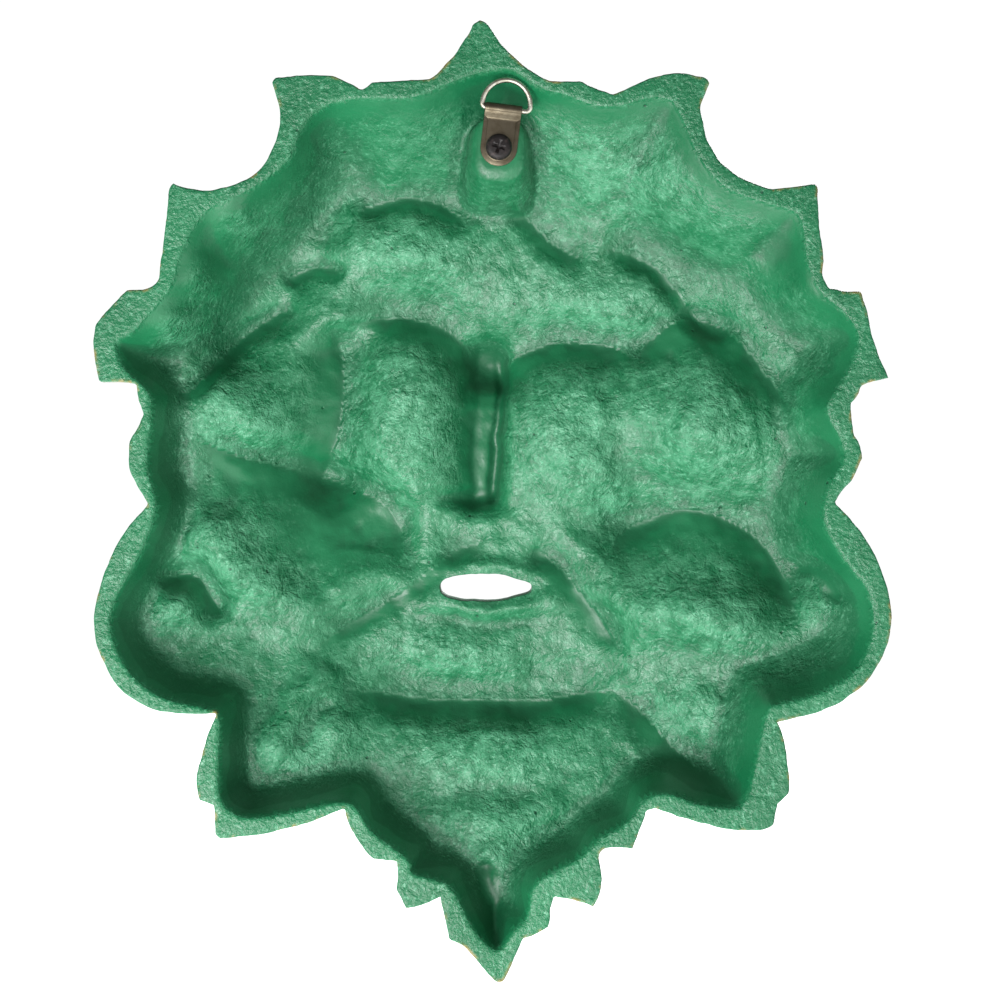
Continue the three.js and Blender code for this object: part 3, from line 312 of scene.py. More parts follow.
# Forms of the hollow, by the mask's own left (+X) and right (-X). A swell has its middle, its half width
# and half height, its depth, the power of its bell and its turn in degrees. A positive depth sinks
# towards the face, a negative one stands up towards the wall.
HOLLOW_SWELLS = [
    Swell("left eye", (31.4, -87.9), (15.9, 21.4), -7.5, 2.6),
    Swell("right eye", (-15.9, -92.3), (15.4, 18.1), -8, 2.5, turn=6),
    Swell("right temple", (-53.7, -91.2), (18.7, 21.4), -11, 2.2),
    Swell("left temple", (78.6, -89.6), (16.5, 15.9), -6.5, 3.4, turn=-14),
    Swell("pit under the nose", (9.4, -110.7), (8.2, 3), 5, turn=4),
    Swell("left cheek", (77.5, -125.8), (11.5, 16.5), -6, 2.6, turn=25),
    Swell("left cheek bowl", (47.6, -118.1), (15.4, 11), 1.5, 3, turn=8),
    Swell("left curl", (92.3, -139.8), (7.1, 6), -4),
    Swell("right cheek", (-49.9, -141.2), (21.4, 10.4), -10, turn=10),
    Swell("right jaw", (-83.4, -139.6), (5.5, 4.7), -4),
    Swell("beside the right eye", (-26.6, -109.1), (7.7, 7.1), -2.5),
    Swell("left leaf pocket", (78.6, -45.1), (5.5, 9.3), 2, turn=-20),
    Swell("left leaf lump", (90.1, -63.8), (6.6, 5.5), -5.5, 2.4),
    Swell("upper left leaf", (73.7, -34.7), (6, 5.5), -5, 2.4),
    Swell("middle left leaf", (83, -49.2), (5.2, 5.5), -4.5, 2.4),
    Swell("right leaf pocket", (-73.8, -45.1), (6.6, 7.1), 3),
    Swell("right leaf lump", (-81.8, -53.9), (5.5, 5.5), -5, 3),
    Swell("lower lip", (14.6, -153), (18.1, 6), -3.5, turn=5),
    Swell("chin", (6.4, -179.6), (25.3, 9.3), -5, 2.2),
    Swell("behind the ring", (0.6, 1.6), (14.3, 10.4), 10, 2.4),
    Swell("forehead", (27, -43.2), (18.1, 9.3), -4, turn=10),
    Swell("right forehead", (-25.2, -58.8), (19.2, 8.2), -3.5, turn=10),
    Swell("right crown", (-27.9, -22.6), (24.7, 11), -2, turn=15),
    Swell("left beard", (57.2, -179.6), (15.9, 12.6), -4.5),
    Swell("left beard lump", (45.9, -172.8), (4.1, 6), -2.5),
    Swell("right beard", (-47.2, -169.5), (13.2, 10.4), -3, 2.6, turn=20),
    Swell("beard point", (6.1, -202.7), (23.1, 15.4), -5.5),
    Swell("point", (4.5, -217.5), (7.7, 12.1), -6),
    Swell("temple lump", (-51, -89.6), (7.1, 6.6), -1.4),
    Swell("lump beside the temple", (-36.2, -86.3), (4.1, 5.5), -1.5),
    Swell("cheek lump", (65.4, -133.5), (7.1, 6.6), -2.6),
    Swell("upper cheek lump", (80.8, -117.6), (8.8, 4.4), -2, turn=-35),
    Swell("right cheek lump", (-49.9, -142.3), (7.1, 4.4), -1.2, turn=10),
]

# A fold has its depth, its widths to the right and left of its line, and the line. A side with a
# sharpness falls away as a straight or hollow slope that ends there, the others as a soft bell. A floor is
# the half width of a flat bottom.
HOLLOW_FOLDS = [
    Fold("nose", 6.5, (3.8, 9.9), sharp=(1.2, 1.6), floor=2.2, line=[(5.3, -63.8), (5.8, -83),
         (6.4, -102.2), (6.7, -112.1)]),
    Fold("crevice beside the nose", 2.6, (1.1, 1.6), sharp=(1, 1), line=[(1.4, -67.9), (2, -83),
         (3.1, -99.5), (4.5, -113.7)]),
    Fold("left temple trough", 9, (9.9, 17.6), sharp=(0, 1.7), line=[(49, -60.5), (46.2, -69.3),
         (45.4, -80.2), (46.8, -91.2), (50.6, -102.2), (56.6, -112.6)]),
    Fold("left brow", 6, (9.3, 11), sharp=(0, 1.4), line=[(45.7, -62.1), (33.8, -60.2), (22.9, -61.3),
         (14.6, -65.1), (9.7, -72), (6.9, -82.4)]),
    Fold("right brow", 6, (8.2, 9.9), sharp=(0, 1.3), line=[(2.8, -85.7), (0.6, -74.7), (-6, -69),
         (-17, -66.8), (-28.5, -68.2), (-38.4, -73.6)]),
    Fold("right temple arc", 4.5, (3.8, 15.4), sharp=(0, 1.2), line=[(-34.5, -76.4), (-37.8, -68.2),
         (-44.4, -62.4), (-53.7, -61), (-62.5, -66.5), (-71.3, -77.5), (-79, -91.2)]),
    Fold("lower left temple arc", 3, (2.5, 5.5), sharp=(0, 1.2), line=[(93.4, -83), (85.2, -79.7),
         (79.2, -72), (72.6, -64.9), (65.4, -59.9), (57.7, -56.6)]),
    Fold("upper left temple arc", 2.2, (2.2, 4.9), sharp=(0, 1.2), line=[(62.7, -50.6), (56.6, -47),
         (50.1, -46.2), (43.5, -49.2)]),
    Fold("left leaf crest", -3, (5.5, 5.5), line=[(51.1, -5.5), (66.5, -27), (78.6, -45.1),
         (89, -63.8), (95.6, -72.6)]),
    Fold("left leaf valley", 8.5, (12.1, 9.9), line=[(42.9, -3.9), (50.6, -25.3), (58.3, -39.6),
         (65.4, -52.8), (75.9, -63.8), (86.3, -74.2)]),
    Fold("left forehead ledge", 3.6, (8.8, 6), sharp=(0, 1.2), line=[(43.5, -32.5), (35.2, -28.9),
         (26.4, -27.5), (17.4, -30), (9.4, -36.9)]),
    Fold("right forehead ledge", 2.8, (8.2, 5.5), sharp=(0, 1.2), line=[(-1, -28.9), (-6, -34.1),
         (-12, -39.9), (-22.4, -45.6)]),
    Fold("right temple ledge", 4, (9.3, 4.9), sharp=(0, 1.2), line=[(-24.1, -40.1), (-34, -43.4),
         (-41.7, -47.8), (-47.7, -55), (-53.7, -62.1), (-61.4, -67.6)]),
    Fold("right crown ridge", -2.5, (6.6, 7.1), line=[(-13.1, -22.6), (-30.7, -25.9), (-47.2, -34.1),
         (-62.3, -39.6), (-76.8, -33)]),
    Fold("right cheek valley", 8, (12.1, 12.1), sharp=(0, 1.2), line=[(-25.2, -127.5), (-34.5, -117.6),
         (-49.9, -113.2), (-64.7, -118.1), (-75.7, -130.8), (-79.6, -147.2)]),
    Fold("right cheek pit", 4.5, (2.5, 3), sharp=(0, 1), line=[(-76.8, -128.6), (-83.4, -128.6),
         (-87.8, -132.4), (-90, -139.6)]),
    Fold("left cheek crest", -2.5, (4.9, 7.7), line=[(90.1, -102.2), (83.8, -115.9), (72.3, -128.3),
         (61.3, -138.5), (47.6, -144.8)]),
    Fold("under the left eye", 6, (5.5, 17), sharp=(0, 1.2), line=[(95.6, -88.5), (80.8, -95.6),
         (67.6, -100), (56.1, -102.8), (45.1, -106.6), (35.8, -110.4), (30.3, -117), (29.2, -124.7),
         (31.9, -132.4)]),
    Fold("left curl pit", 7, (3.8, 6.6), sharp=(0, 1), line=[(97.3, -133), (87.9, -130.5),
         (82.2, -134.1), (77.5, -144.5)]),
    Fold("left moustache crease", 2.2, (6.6, 4.9), sharp=(0, 1), line=[(59.4, -154.9), (43.2, -144.2),
         (31.4, -137.1), (21.8, -130.2), (12.2, -123.4), (3.9, -121.4)]),
    Fold("left moustache crest", -2, (6, 5.5), line=[(59.9, -147.5), (43.5, -135.7), (29.7, -127.5),
         (17.4, -120.9)]),
    Fold("right moustache crease", 3.4, (6, 8.2), sharp=(0, 1.5), line=[(-5.4, -121.4),
         (-14.8, -130.2), (-23, -139.6), (-31.2, -153)]),
    Fold("right moustache crest", -1.8, (4.9, 3.8), line=[(-8.7, -118.7), (-21.1, -129.1),
         (-32.9, -141.2), (-40.3, -150.3)]),
    Fold("lip line", -1.2, (2.2, 2.2), line=[(23.1, -133.5), (18.2, -138.5), (9.4, -141.2),
         (-1, -141.8), (-10.1, -138.5)]),
    Fold("crease under the lip", 0.9, (1.9, 2.2), line=[(23.1, -135.7), (18.2, -140.9), (9.4, -143.7),
         (-1, -144.2), (-10.1, -141.2)]),
    Fold("chin step", 6.5, (17.6, 7.4), sharp=(0, 1), line=[(50.3, -161.5), (35.2, -163.7),
         (21.5, -165.6), (5, -166.2), (-9, -165.9), (-22.4, -163.7), (-36.2, -161)]),
    Fold("right chin step", 5, (8.2, 8.2), sharp=(0, 1), line=[(-28.5, -161.5), (-37.5, -169.5),
         (-45, -177.7), (-52.7, -184), (-60.3, -185.1)]),
    Fold("left beard crest", -3, (3.8, 3.8), line=[(46.8, -156), (54.4, -162.6), (61.6, -171.4),
         (68.7, -184)]),
    Fold("left beard crease", 1.2, (2.2, 2.7), line=[(47.9, -164.8), (53.9, -170.3), (57.7, -178.5)]),
    Fold("streak under the right eye", 0.9, (4.4, 3.3), sharp=(0, 1), line=[(-13.1, -81.9),
         (-19.7, -90.1), (-28.5, -98.9), (-38.4, -108.2)]),
    Fold("point groove", 3, (3.8, 5.5), sharp=(1, 1.4), line=[(3.1, -234), (4.5, -220.3),
         (6.7, -206.6)]),
    Fold("neck fold", -2, (3.8, 3.8), line=[(29.7, -190.1), (10.5, -196.9), (-14.2, -192.8),
         (-30.7, -181.8)]),
]

# Forms of the face, by the distance from its middle line; a positive depth stands out
FACE_MIDDLE = 5.8
FACE_AT = -100
FACE_REACH = (47, 64)
FACE_SWELLS = [
    Swell("socket", (21, -86), (17, 12), -8, 3),
    Swell("eyeball", (22, -88), (12, 7.2), 7.5, 2.6),
    Swell("pupil", (21.5, -88), (3, 3), -1.6, 4),
    Swell("cheekbone", (36, -110), (17, 13), 5.5),
    Swell("temple", (50, -84), (10, 16), -3),
    Swell("nostril", (9.5, -107.5), (5, 4.6), 6.5, 2.4),
    Swell("corner of the lips", (23, -135), (5, 5), -3),
    Swell("bridge", (0, -80), (6.5, 22), 8, 3),
    Swell("nose", (0, -99), (9, 15), 8, 2.4),
    Swell("nose tip", (0, -106.5), (8, 7), 8.5, 2.4),
    Swell("chin", (0, -162), (17, 11), 9, 2.4),
    Swell("forehead", (0, -47), (36, 17), 4, 2.4),
    Swell("under the lip", (0, -150), (13, 4), -3),
]
FACE_FOLDS = [
    Fold("brow", 7, (7, 5), line=[(4, -72), (13, -66), (26, -63.5), (38, -67), (48, -78)]),
    Fold("upper lid", 2.4, (1.8, 2.6), line=[(9, -90), (14, -84.2), (22, -81), (30, -83.2),
         (35.5, -89)]),
    Fold("lower lid", 1.8, (1.8, 1.8), line=[(10, -90), (16, -94.6), (24, -95.8), (34, -90.5)]),
    Fold("moustache", 8, (6.5, 5), line=[(3, -117), (14, -119), (28, -127), (42, -139), (58, -147),
         (66, -141)]),
    Fold("upper lip", 4.5, (3.2, 3), line=[(-4, -128.5), (0, -129), (5, -127.4), (12, -129.6),
         (19, -134)]),
    Fold("lower lip", 6.5, (3.6, 4.4), line=[(-6, -142.5), (0, -143), (9, -142), (18, -137)]),
    Fold("smile line", -2.5, (3, 4), line=[(12, -110), (22, -117), (32, -129)]),
]

# Leaves of the front: (tip x, tip z, root x, root z, half width, rise)
LEAVES = [
    (6, 16, 6, -52, 17, 7.5), (-52, 1, -16, -60, 17, 7), (61, 1, 28, -60, 17, 7),
    (-81, -28, -30, -70, 17, 7.5), (88, -28, 42, -70, 17, 7.5), (-99, -72, -38, -88, 16, 7),
    (108, -72, 50, -88, 16, 7), (-93, -99, -42, -104, 12, 5.5), (100, -99, 54, -104, 12, 5.5),
    (-101, -140, -38, -116, 21, 7.5), (109, -141, 50, -116, 21, 7.5), (-70, -196, -28, -136, 20, 8),
    (78, -199, 40, -136, 20, 8), (-30, -203, -10, -158, 14, 7), (34, -206, 22, -158, 14, 7),
    (-20, -217, -3, -168, 11, 7.5), (28, -217, 15, -168, 11, 7.5), (2, -237, 5, -168, 13, 8.5),
    (-30, 0, -6, -50, 13, 4.5), (42, 0, 18, -50, 13, 4.5), (-70, -26, -26, -62, 12, 4.5),
    (76, -26, 38, -62, 12, 4.5), (-92, -56, -36, -78, 13, 4.5), (102, -56, 48, -78, 13, 4.5),
    (-88, -164, -36, -126, 14, 5), (96, -164, 48, -126, 14, 5), (-50, -196, -18, -150, 13, 5),
    (58, -196, 30, -150, 13, 5),
]


def catmull_rom(points, samples, closed):
    """A smooth curve through the points, with so many samples for each stretch."""
    p = np.array(points, float)
    count = len(p)
    stretches = []
    for i in range(count if closed else count - 1):
        if closed:
            a, b, c, d = p[i - 1], p[i], p[(i + 1) % count], p[(i + 2) % count]
        else:
            a, b, c, d = p[max(i - 1, 0)], p[i], p[i + 1], p[min(i + 2, count - 1)]
        t = np.linspace(0, 1, samples, endpoint=False)[:, None]
        curve = 2 * b + (c - a) * t + (2 * a - 5 * b + 4 * c - d) * t**2 + (3 * b - a - 3 * c + d) * t**3
        stretches.append(curve / 2)
    if not closed:
        stretches.append(p[-1:])
    return np.vstack(stretches)


def bowed_loop(corners, spacing):
    """Corners joined by stretches that bow out by their bulge."""
    stretches = []
    for i, (x, z, _) in enumerate(corners):
        next_x, next_z, bulge = corners[(i + 1) % len(corners)]
        length = hypot(next_x - x, next_z - z)
        steps = max(1, round(length / spacing))
        t = np.arange(steps) / steps
        bow = 4 * bulge * t * (1 - t) / length
        bowed_x = x + (next_x - x) * t + (next_z - z) * bow
        bowed_z = z + (next_z - z) * t - (next_x - x) * bow
        stretches.append(np.c_[bowed_x, bowed_z])
    return np.vstack(stretches)


def spaced_loop(loop, spacing):
    """Points the same distance apart along a closed line."""
    closed = np.vstack([loop, loop[:1]])
    lengths = np.hypot(*np.diff(closed, axis=0).T)
    travelled = np.r_[0, np.cumsum(lengths)]
    places = np.linspace(0, travelled[-1], max(8, round(travelled[-1] / spacing)), endpoint=False)
    return np.c_[np.interp(places, travelled, closed[:, 0]), np.interp(places, travelled, closed[:, 1])]


def inward_normals(loop):
    """For a loop that runs anticlockwise in (x, z)."""
    along = np.roll(loop, -1, axis=0) - np.roll(loop, 1, axis=0)
    along /= np.maximum(np.hypot(along[:, 0], along[:, 1]), 1e-9)[:, None]
    return np.c_[-along[:, 1], along[:, 0]]


def nearest(line, closed, x, z):
    """Distance to a line of points, the side of it that a point is on and its share of the line."""
    best = np.full(x.shape, 1e9)
    side = np.ones(x.shape)
    share = np.zeros(x.shape)
    last = len(line) if closed else len(line) - 1
    for i in range(last):
        a, b = line[i], line[(i + 1) % len(line)]
        d = b - a
        t = np.clip(((x - a[0]) * d[0] + (z - a[1]) * d[1]) / max(d @ d, 1e-9), 0, 1)
        distance = np.hypot(x - a[0] - d[0] * t, z - a[1] - d[1] * t)
        closer = distance < best
        best[closer] = distance[closer]
        share[closer] = (i + t[closer]) / last
        side[closer] = np.where(d[0] * (z[closer] - a[1]) - d[1] * (x[closer] - a[0]) > 0, 1, -1)
    return best, side, share


def inside(loop, x, z):
    """Whether points are inside a loop, by the number of its edges to their right."""
    crossings = np.zeros(x.shape, int)
    for (ax, az), (bx, bz) in zip(loop, np.roll(loop, -1, axis=0)):
        spans = (az > z) != (bz > z)
        where = ax + (z - az) * (bx - ax) / (bz - az if bz != az else 1e-12)
        crossings += spans & (x < where)
    return crossings % 2 == 1


def smoothstep(t):
    t = np.clip(t, 0, 1)
    return t * t * (3 - 2 * t)


def ramp(value, start, reach):
    return smoothstep((value - start) / reach)


def rising(distance, reach):
    return 1 - np.exp(-distance / reach)


def soft_max(a, b, softness):
    return np.maximum(a, b) + softness * np.log1p(np.exp(-np.abs(a - b) / softness))


def swell(form, x, z):
    c, s = cos(radians(form.turn)), sin(radians(form.turn))
    dx, dz = x - form.at[0], z - form.at[1]
    u = (dx * c + dz * s) / form.radius[0]
    v = (dz * c - dx * s) / form.radius[1]
    return form.depth * np.exp(-((u * u + v * v) ** (form.power / 2)))


def slope_down(distance, width, sharpness):
    """From 1 beside the line to 0: a soft bell or, with a sharpness, a slope that ends at the width."""
    if sharpness == 0:
        return np.exp(-((distance / width) ** 2))
    left = 1 - distance / width
    return (0.5 * (left + np.sqrt(left**2 + SLOPE_SOFTNESS))) ** sharpness


def fold_share(form, x, z):
    """A fold from 1 on its line to 0, and whether a point is on a side that is a slope."""
    line = catmull_rom(form.line, FOLD_SAMPLES, False)
    reach = FOLD_REACH * max(form.width) + form.floor
    (low_x, low_z), (high_x, high_z) = line.min(0) - reach, line.max(0) + reach
    near = (x > low_x) & (x < high_x) & (z > low_z) & (z < high_z)
    out = np.zeros(x.shape)
    on_slope = np.zeros(x.shape, bool)
    distance, side, share = nearest(line, False, x[near], z[near])
    distance = np.maximum(np.hypot(distance, CREASE_ROUND) - CREASE_ROUND - form.floor, 0)
    right, left = [slope_down(distance, w, s) for w, s in zip(form.width, form.sharp)]
    ends = smoothstep(np.minimum(share, 1 - share) / FOLD_ENDS)
    out[near] = ends * np.where(side > 0, left, right)
    on_slope[near] = np.where(side > 0, form.sharp[1] > 0, form.sharp[0] > 0)
    return out, on_slope


def fold(form, x, z):
    return form.depth * fold_share(form, x, z)[0]


def all_forms(swells, folds, x, z):
    return sum(swell(form, x, z) for form in swells) + sum(fold(form, x, z) for form in folds)


def lumpiness(x, z):
    """1 on the lumps that stand towards the wall, where the cast is rough and the paint lays its painted
    sheen and glints, and 0 in the smooth recesses.
    """
    lumps = np.zeros(x.shape)
    recess = np.zeros(x.shape)
    for form in HOLLOW_SWELLS:
        bell = swell(form, x, z) / form.depth
        if form.depth < 0:
            lumps = np.maximum(lumps, bell)
        else:
            recess = np.maximum(recess, bell)
    for form in HOLLOW_FOLDS:
        share, on_slope = fold_share(form, x, z)
        if form.depth > DEEP_FOLD:
            recess = np.maximum(recess, on_slope * np.clip(RECESS_GAIN * share, 0, 1) ** 2)
    return (0.5 + 0.5 * lumps) * (1 - recess)


def fractal(x, y, z, scale, seed, octaves=3):
    """Smooth noise of about -1 to 1 with lumps of about the given scale in millimetres."""
    return np.array([
        noise.fractal(Vector((a + seed, b - seed, c)), NOISE_FALL, NOISE_STEP, octaves)
        for a, b, c in zip(x / scale, y / scale, z / scale)
    ])


def plan_noise(x, z, scale, seed, octaves=3):
    return fractal(x, np.zeros(x.shape), z, scale, seed, octaves)


def dome_at(x, z):
    across, up = (x - DOME_AT[0]) / DOME_REACH[0], (z - DOME_AT[1]) / DOME_REACH[1]
    return DOME_DEPTH * (1 - across**2 - up**2)


def wall_width(x, z):
    """How wide the hollow's side slopes: steep at the lower left, gentle on the right and at the top."""
    to_right = ramp(-x, *TO_THE_RIGHT)
    to_top = ramp(z, *TO_THE_TOP) * ramp(-x, *SHORT_OF_THE_LEFT)
    to_upper_left = ramp(z, *ABOVE_THE_LEFT_EYE) * ramp(x, *TO_THE_LEFT)
    wider = SIDE_WIDER_RIGHT * to_right + SIDE_WIDER_TOP * to_top + SIDE_WIDER_UPPER_LEFT * to_upper_left
    return SIDE_WIDTH + wider


def hollow_depth(x, z, inset):
    to_lips = np.hypot((x - MOUTH_AT[0]) / MOUTH_HALF[0], (z - MOUTH_AT[1]) / MOUTH_HALF[1]) - 1
    lip = LIP_RISE * np.exp(-((to_lips * MOUTH_HALF[1] / LIP_WIDTH - 1) ** 2))
    forms = all_forms(HOLLOW_SWELLS, HOLLOW_FOLDS, x, z)
    side = 1 - slope_down(inset, wall_width(x, z), SIDE_CURVE)
    return (SIDE_DEPTH + dome_at(x, z)) * side + forms * rising(inset, SIDE_REACH) - lip


def boss_centre():
    """Middle of the screw, where the boss stands."""
    x, _, z = hanger_matrix() @ Vector((RING_SLIP, 0, -SCREW_REACH))
    return x, z


def hanger_matrix():
    """From the ring's bar to the row's frame: along the bar, out of the wall, up the strap."""
    below = (RING_HEIGHT - WIRE_RADIUS) * cos(RING_TILT)
    bar_depth = BOSS_TOP - CLEARANCE - SHEET - CLEARANCE / 2
    place = Matrix.Translation((below * sin(RING_LEAN), -bar_depth, -below * cos(RING_LEAN)))
    return place @ Matrix.Rotation(-RING_LEAN, 4, "Y")


def boss_ring(spread, count=72):
    """One level of the boss: its top at spread 0 and its root at spread 1."""
    cx, cz = boss_centre()
    angle = np.linspace(0, 2 * pi, count, endpoint=False)
    c, s = np.cos(angle), np.sin(angle)
    square = (np.abs(c) ** BOSS_SQUARENESS + np.abs(s) ** BOSS_SQUARENESS) ** (-1 / BOSS_SQUARENESS)
    reach = np.where(s > 0, BOSS_RISE, BOSS_DROP + BOSS_DROP_DRAFT * spread)
    return np.c_[cx + c * square * (BOSS_HALF_WIDTH + BOSS_DRAFT * spread), cz + s * square * reach]


def boss_spread(x, z):
    """The spread of the level of the boss that a point lies on, by halving."""
    cx, cz = boss_centre()
    u, v = np.abs(x - cx), z - cz
    low, high = np.full(x.shape, BOSS_LOWEST), np.full(x.shape, BOSS_HIGHEST)
    for _ in range(BOSS_HALVINGS):
        middle = (low + high) / 2
        half_width = np.maximum(BOSS_HALF_WIDTH + BOSS_DRAFT * middle, 0.1)
        reach = np.where(v > 0, BOSS_RISE, np.maximum(BOSS_DROP + BOSS_DROP_DRAFT * middle, 0.1))
        outside = (u / half_width) ** BOSS_SQUARENESS + (np.abs(v) / reach) ** BOSS_SQUARENESS > 1
        low, high = np.where(outside, middle, low), np.where(outside, high, middle)
    return (low + high) / 2


def leaf_height(leaf, x, z):
    """A leaf comes up from under the face, with a rib, side veins and a lobed edge."""
    tip_x, tip_z, root_x, root_z, half_width, rise = leaf
    dx, dz = tip_x - root_x, tip_z - root_z
    length = hypot(dx, dz)
    along = ((x - root_x) * dx + (z - root_z) * dz) / length**2
    across = np.abs((x - root_x) * dz - (z - root_z) * dx) / length
    to_tip = np.sqrt(np.clip(1 - np.clip(along - LEAF_SHOULDER, 0, None) / LEAF_TAPER, 0, None))
    growth = smoothstep(along / LEAF_SHOULDER)
    grown = LEAF_ROOT[0] + LEAF_ROOT[1] * growth
    lobe = np.abs(np.sin(pi * (along * length / LOBE_LENGTH - across / LOBE_LEAN)))
    half = LEAF_SLIM * half_width * to_tip * grown * (1 - LOBE_DEPTH * lobe)
    shown = (across < half) & (along > 0)
    t = np.where(shown, across / np.maximum(half, 1e-6), 1)
    blade = rise * (1 - LEAF_FALL * t * t) * growth
    rib = RIB_RISE * np.exp(-((across / RIB_WIDTH) ** 2)) * growth
    vein = -VEIN_DEPTH * (1 - smoothstep(lobe * VEIN_SHARPNESS)) * (t < VEIN_END)
    return np.where(shown, blade + rib + vein, 0)


def front_depth(x, z, inset, rim_width, back):
    """Depth of the front: the body, the dome and whichever of face and leaves stands out further."""
    aside = np.abs(x - FACE_MIDDLE)
    forms = all_forms(FACE_SWELLS, FACE_FOLDS, aside, z)
    spread = (aside / FACE_REACH[0]) ** 2 + ((z - FACE_AT) / FACE_REACH[1]) ** 2
    face = FACE_RISE * np.exp(-(spread**2)) + forms * rising(inset, FACE_REACH_IN)
    leaf = np.max([leaf_height(leaf, x, z) for leaf in LEAVES], axis=0)
    leaf *= rising(inset + LEAF_SOONER, LEAF_REACH_IN)
    body = RIM_RISE + (SIDE_DEPTH + WALL - RIM_RISE) * rising(inset, BODY_REACH_IN)
    front = body + (dome_at(x, z) - DOME_SINK) * rising(inset, FACE_REACH_IN) + np.maximum(face, leaf)
    behind_side = hollow_depth(x, z, inset + SIDE_WALL) + SIDE_WALL_FRONT
    front = soft_max(front, np.maximum(back + LEAST_WALL, behind_side), FRONT_BLEND)
    on_rim = LEAF_EDGE + (front - LEAF_EDGE) * smoothstep(rim_width / RIM_BLEND)
    return np.where(inset > 0, front, on_rim)


def back_depth(x, z, in_hollow, to_edge):
    """Depth of everything that shows from the wall's side, with the unevenness of the cast."""
    inset = np.where(in_hollow, to_edge, 0)
    lumps = sum(height * plan_noise(x, z, size, seed) for height, size, seed in LUMPS)
    stray_x, stray_z = [STRAY * plan_noise(x, z, STRAY_SIZE, seed) * smoothstep(inset / STRAY_REACH_IN)
                        for seed in STRAY_SEEDS]
    depth = hollow_depth(x + stray_x, z + stray_z, inset) + lumps * smoothstep(inset / LUMPS_REACH_IN)
    spread = boss_spread(x, z)
    chamfer = BOSS_CHAMFER * smoothstep(spread / BOSS_EDGE + 1)
    boss = BOSS_TOP + chamfer + BOSS_SLOPE * np.clip(spread, 0, None) ** BOSS_CURVE
    depth = np.where(spread < BOSS_SPREAD, -soft_max(-depth, -boss, BOSS_FILLET), depth)
    depth = np.where(spread < -BOSS_EDGE, BOSS_TOP, depth)
    rim = RIM_DROP * np.clip(1 - to_edge / RIM_ROUND, 0, 1) ** 2
    return np.where(in_hollow, np.maximum(depth, RIM_DROP), rim)


def mouth_loop(swelling, count=96):
    """The slot between the lips: blunt on the left and pointed on the right, with a ragged edge."""
    angle = np.linspace(0, 2 * pi, count, endpoint=False)
    c, s = np.cos(angle), np.sin(angle)
    square = (np.abs(c) ** MOUTH_SQUARENESS + np.abs(s) ** MOUTH_SQUARENESS) ** (-1 / MOUTH_SQUARENESS)
    pointed = 1 - MOUTH_POINT * smoothstep(-c * MOUTH_POINT_SLOPE - MOUTH_POINT_FROM) * np.abs(s)
    height, size, seed = MOUTH_GRAIN
    grain_x, grain_z = MOUTH_GRAIN_REACH
    ragged = height * fractal(grain_x * c, grain_z * s, 0 * c, size, seed)
    reach = (MOUTH_HALF[0] + swelling + ragged, (MOUTH_HALF[1] + swelling + ragged) * pointed)
    return np.c_[MOUTH_AT[0] + reach[0] * c * square, MOUTH_AT[1] + reach[1] * s * square]


def casting_plan():
    """Points of the mask's plan and the triangles between them, with every edge of the forms as a line."""
    outline = spaced_loop(bowed_loop(OUTLINE, OUTLINE_STEP), LINE_SPACING)
    height, size, seed = OUTLINE_GRAIN
    ragged = height * plan_noise(outline[:, 0], outline[:, 1], size, seed, octaves=4)
    outline = outline - inward_normals(outline) * np.clip(ragged, *OUTLINE_RAGGED)[:, None]
    inner = outline + inward_normals(outline) * EDGE_ROUND
    edge = spaced_loop(catmull_rom(HOLLOW_POINTS, HOLLOW_SAMPLES, True), LINE_SPACING)
    loops = [inner, edge, mouth_loop(MOUTH_ROUND)]
    loops += [boss_ring(spread) for spread in BOSS_RINGS]
    rows = np.arange(*PLAN_Z, GRID * 3**0.5 / 2)
    columns = np.arange(*PLAN_X, GRID)
    x, z = np.meshgrid(columns, rows)
    x = x + (np.arange(len(rows)) % 2)[:, None] * GRID / 2
    x, z = x.ravel(), z.ravel()
    keep = inside(inner, x, z) & ~inside(mouth_loop(MOUTH_ROUND), x, z)
    x, z = x[keep], z[keep]
    keep = np.ones(x.shape, bool)
    for loop in loops:
        keep &= nearest(loop, True, x, z)[0] > 0.5 * GRID
    points = np.vstack(loops + [np.c_[x[keep], z[keep]]])
    edges = []
    start = 0
    for loop in loops:
        count = len(loop)
        edges += [(start + k, start + (k + 1) % count) for k in range(count)]
        start += count
    verts, _, faces, _, _, _ = delaunay_2d_cdt([Vector(p) for p in points], edges, [], 0, MERGE_WITHIN)
    places = np.array([tuple(v) for v in verts])
    triangles = np.array([face for face in faces if len(face) == 3])
    middle = places[triangles].mean(axis=1)
    in_mouth = inside(mouth_loop(MOUTH_ROUND), middle[:, 0], middle[:, 1])
    shown = inside(inner, middle[:, 0], middle[:, 1]) & ~in_mouth
    return outline, edge, places, triangles[shown]


def boundary_loops(triangles):
    """Closed lines of vertices round the plan, with the triangles on their left."""
    directed = set()
    for a, b, c in triangles:
        directed.update(((a, b), (b, c), (c, a)))
    follow = {a: b for a, b in directed if (b, a) not in directed}
    loops = []
    while follow:
        start, here = follow.popitem()
        loop = [start]
        while here != start:
            loop.append(here)
            here = follow.pop(here)
        loops.append(loop)
    return loops


def wall_levels(back, front, rounding):
    """(how far out, how deep) of the rows that take the edge round from the back to the front."""
    quarter = [radians(angle) for angle in ROUND_ANGLES]
    rounds = [(rounding * sin(a), rounding * (1 - cos(a))) for a in quarter]
    straight = np.linspace(0, 1, WALL_STEPS + 1)[1:-1, None] * (front - back - 2 * rounding)
    levels = [(out, back + down) for out, down in rounds]
    levels += [(rounding, back + rounding + step) for step in straight]
    levels += [(out, front - down) for out, down in reversed(rounds)]
    return levels


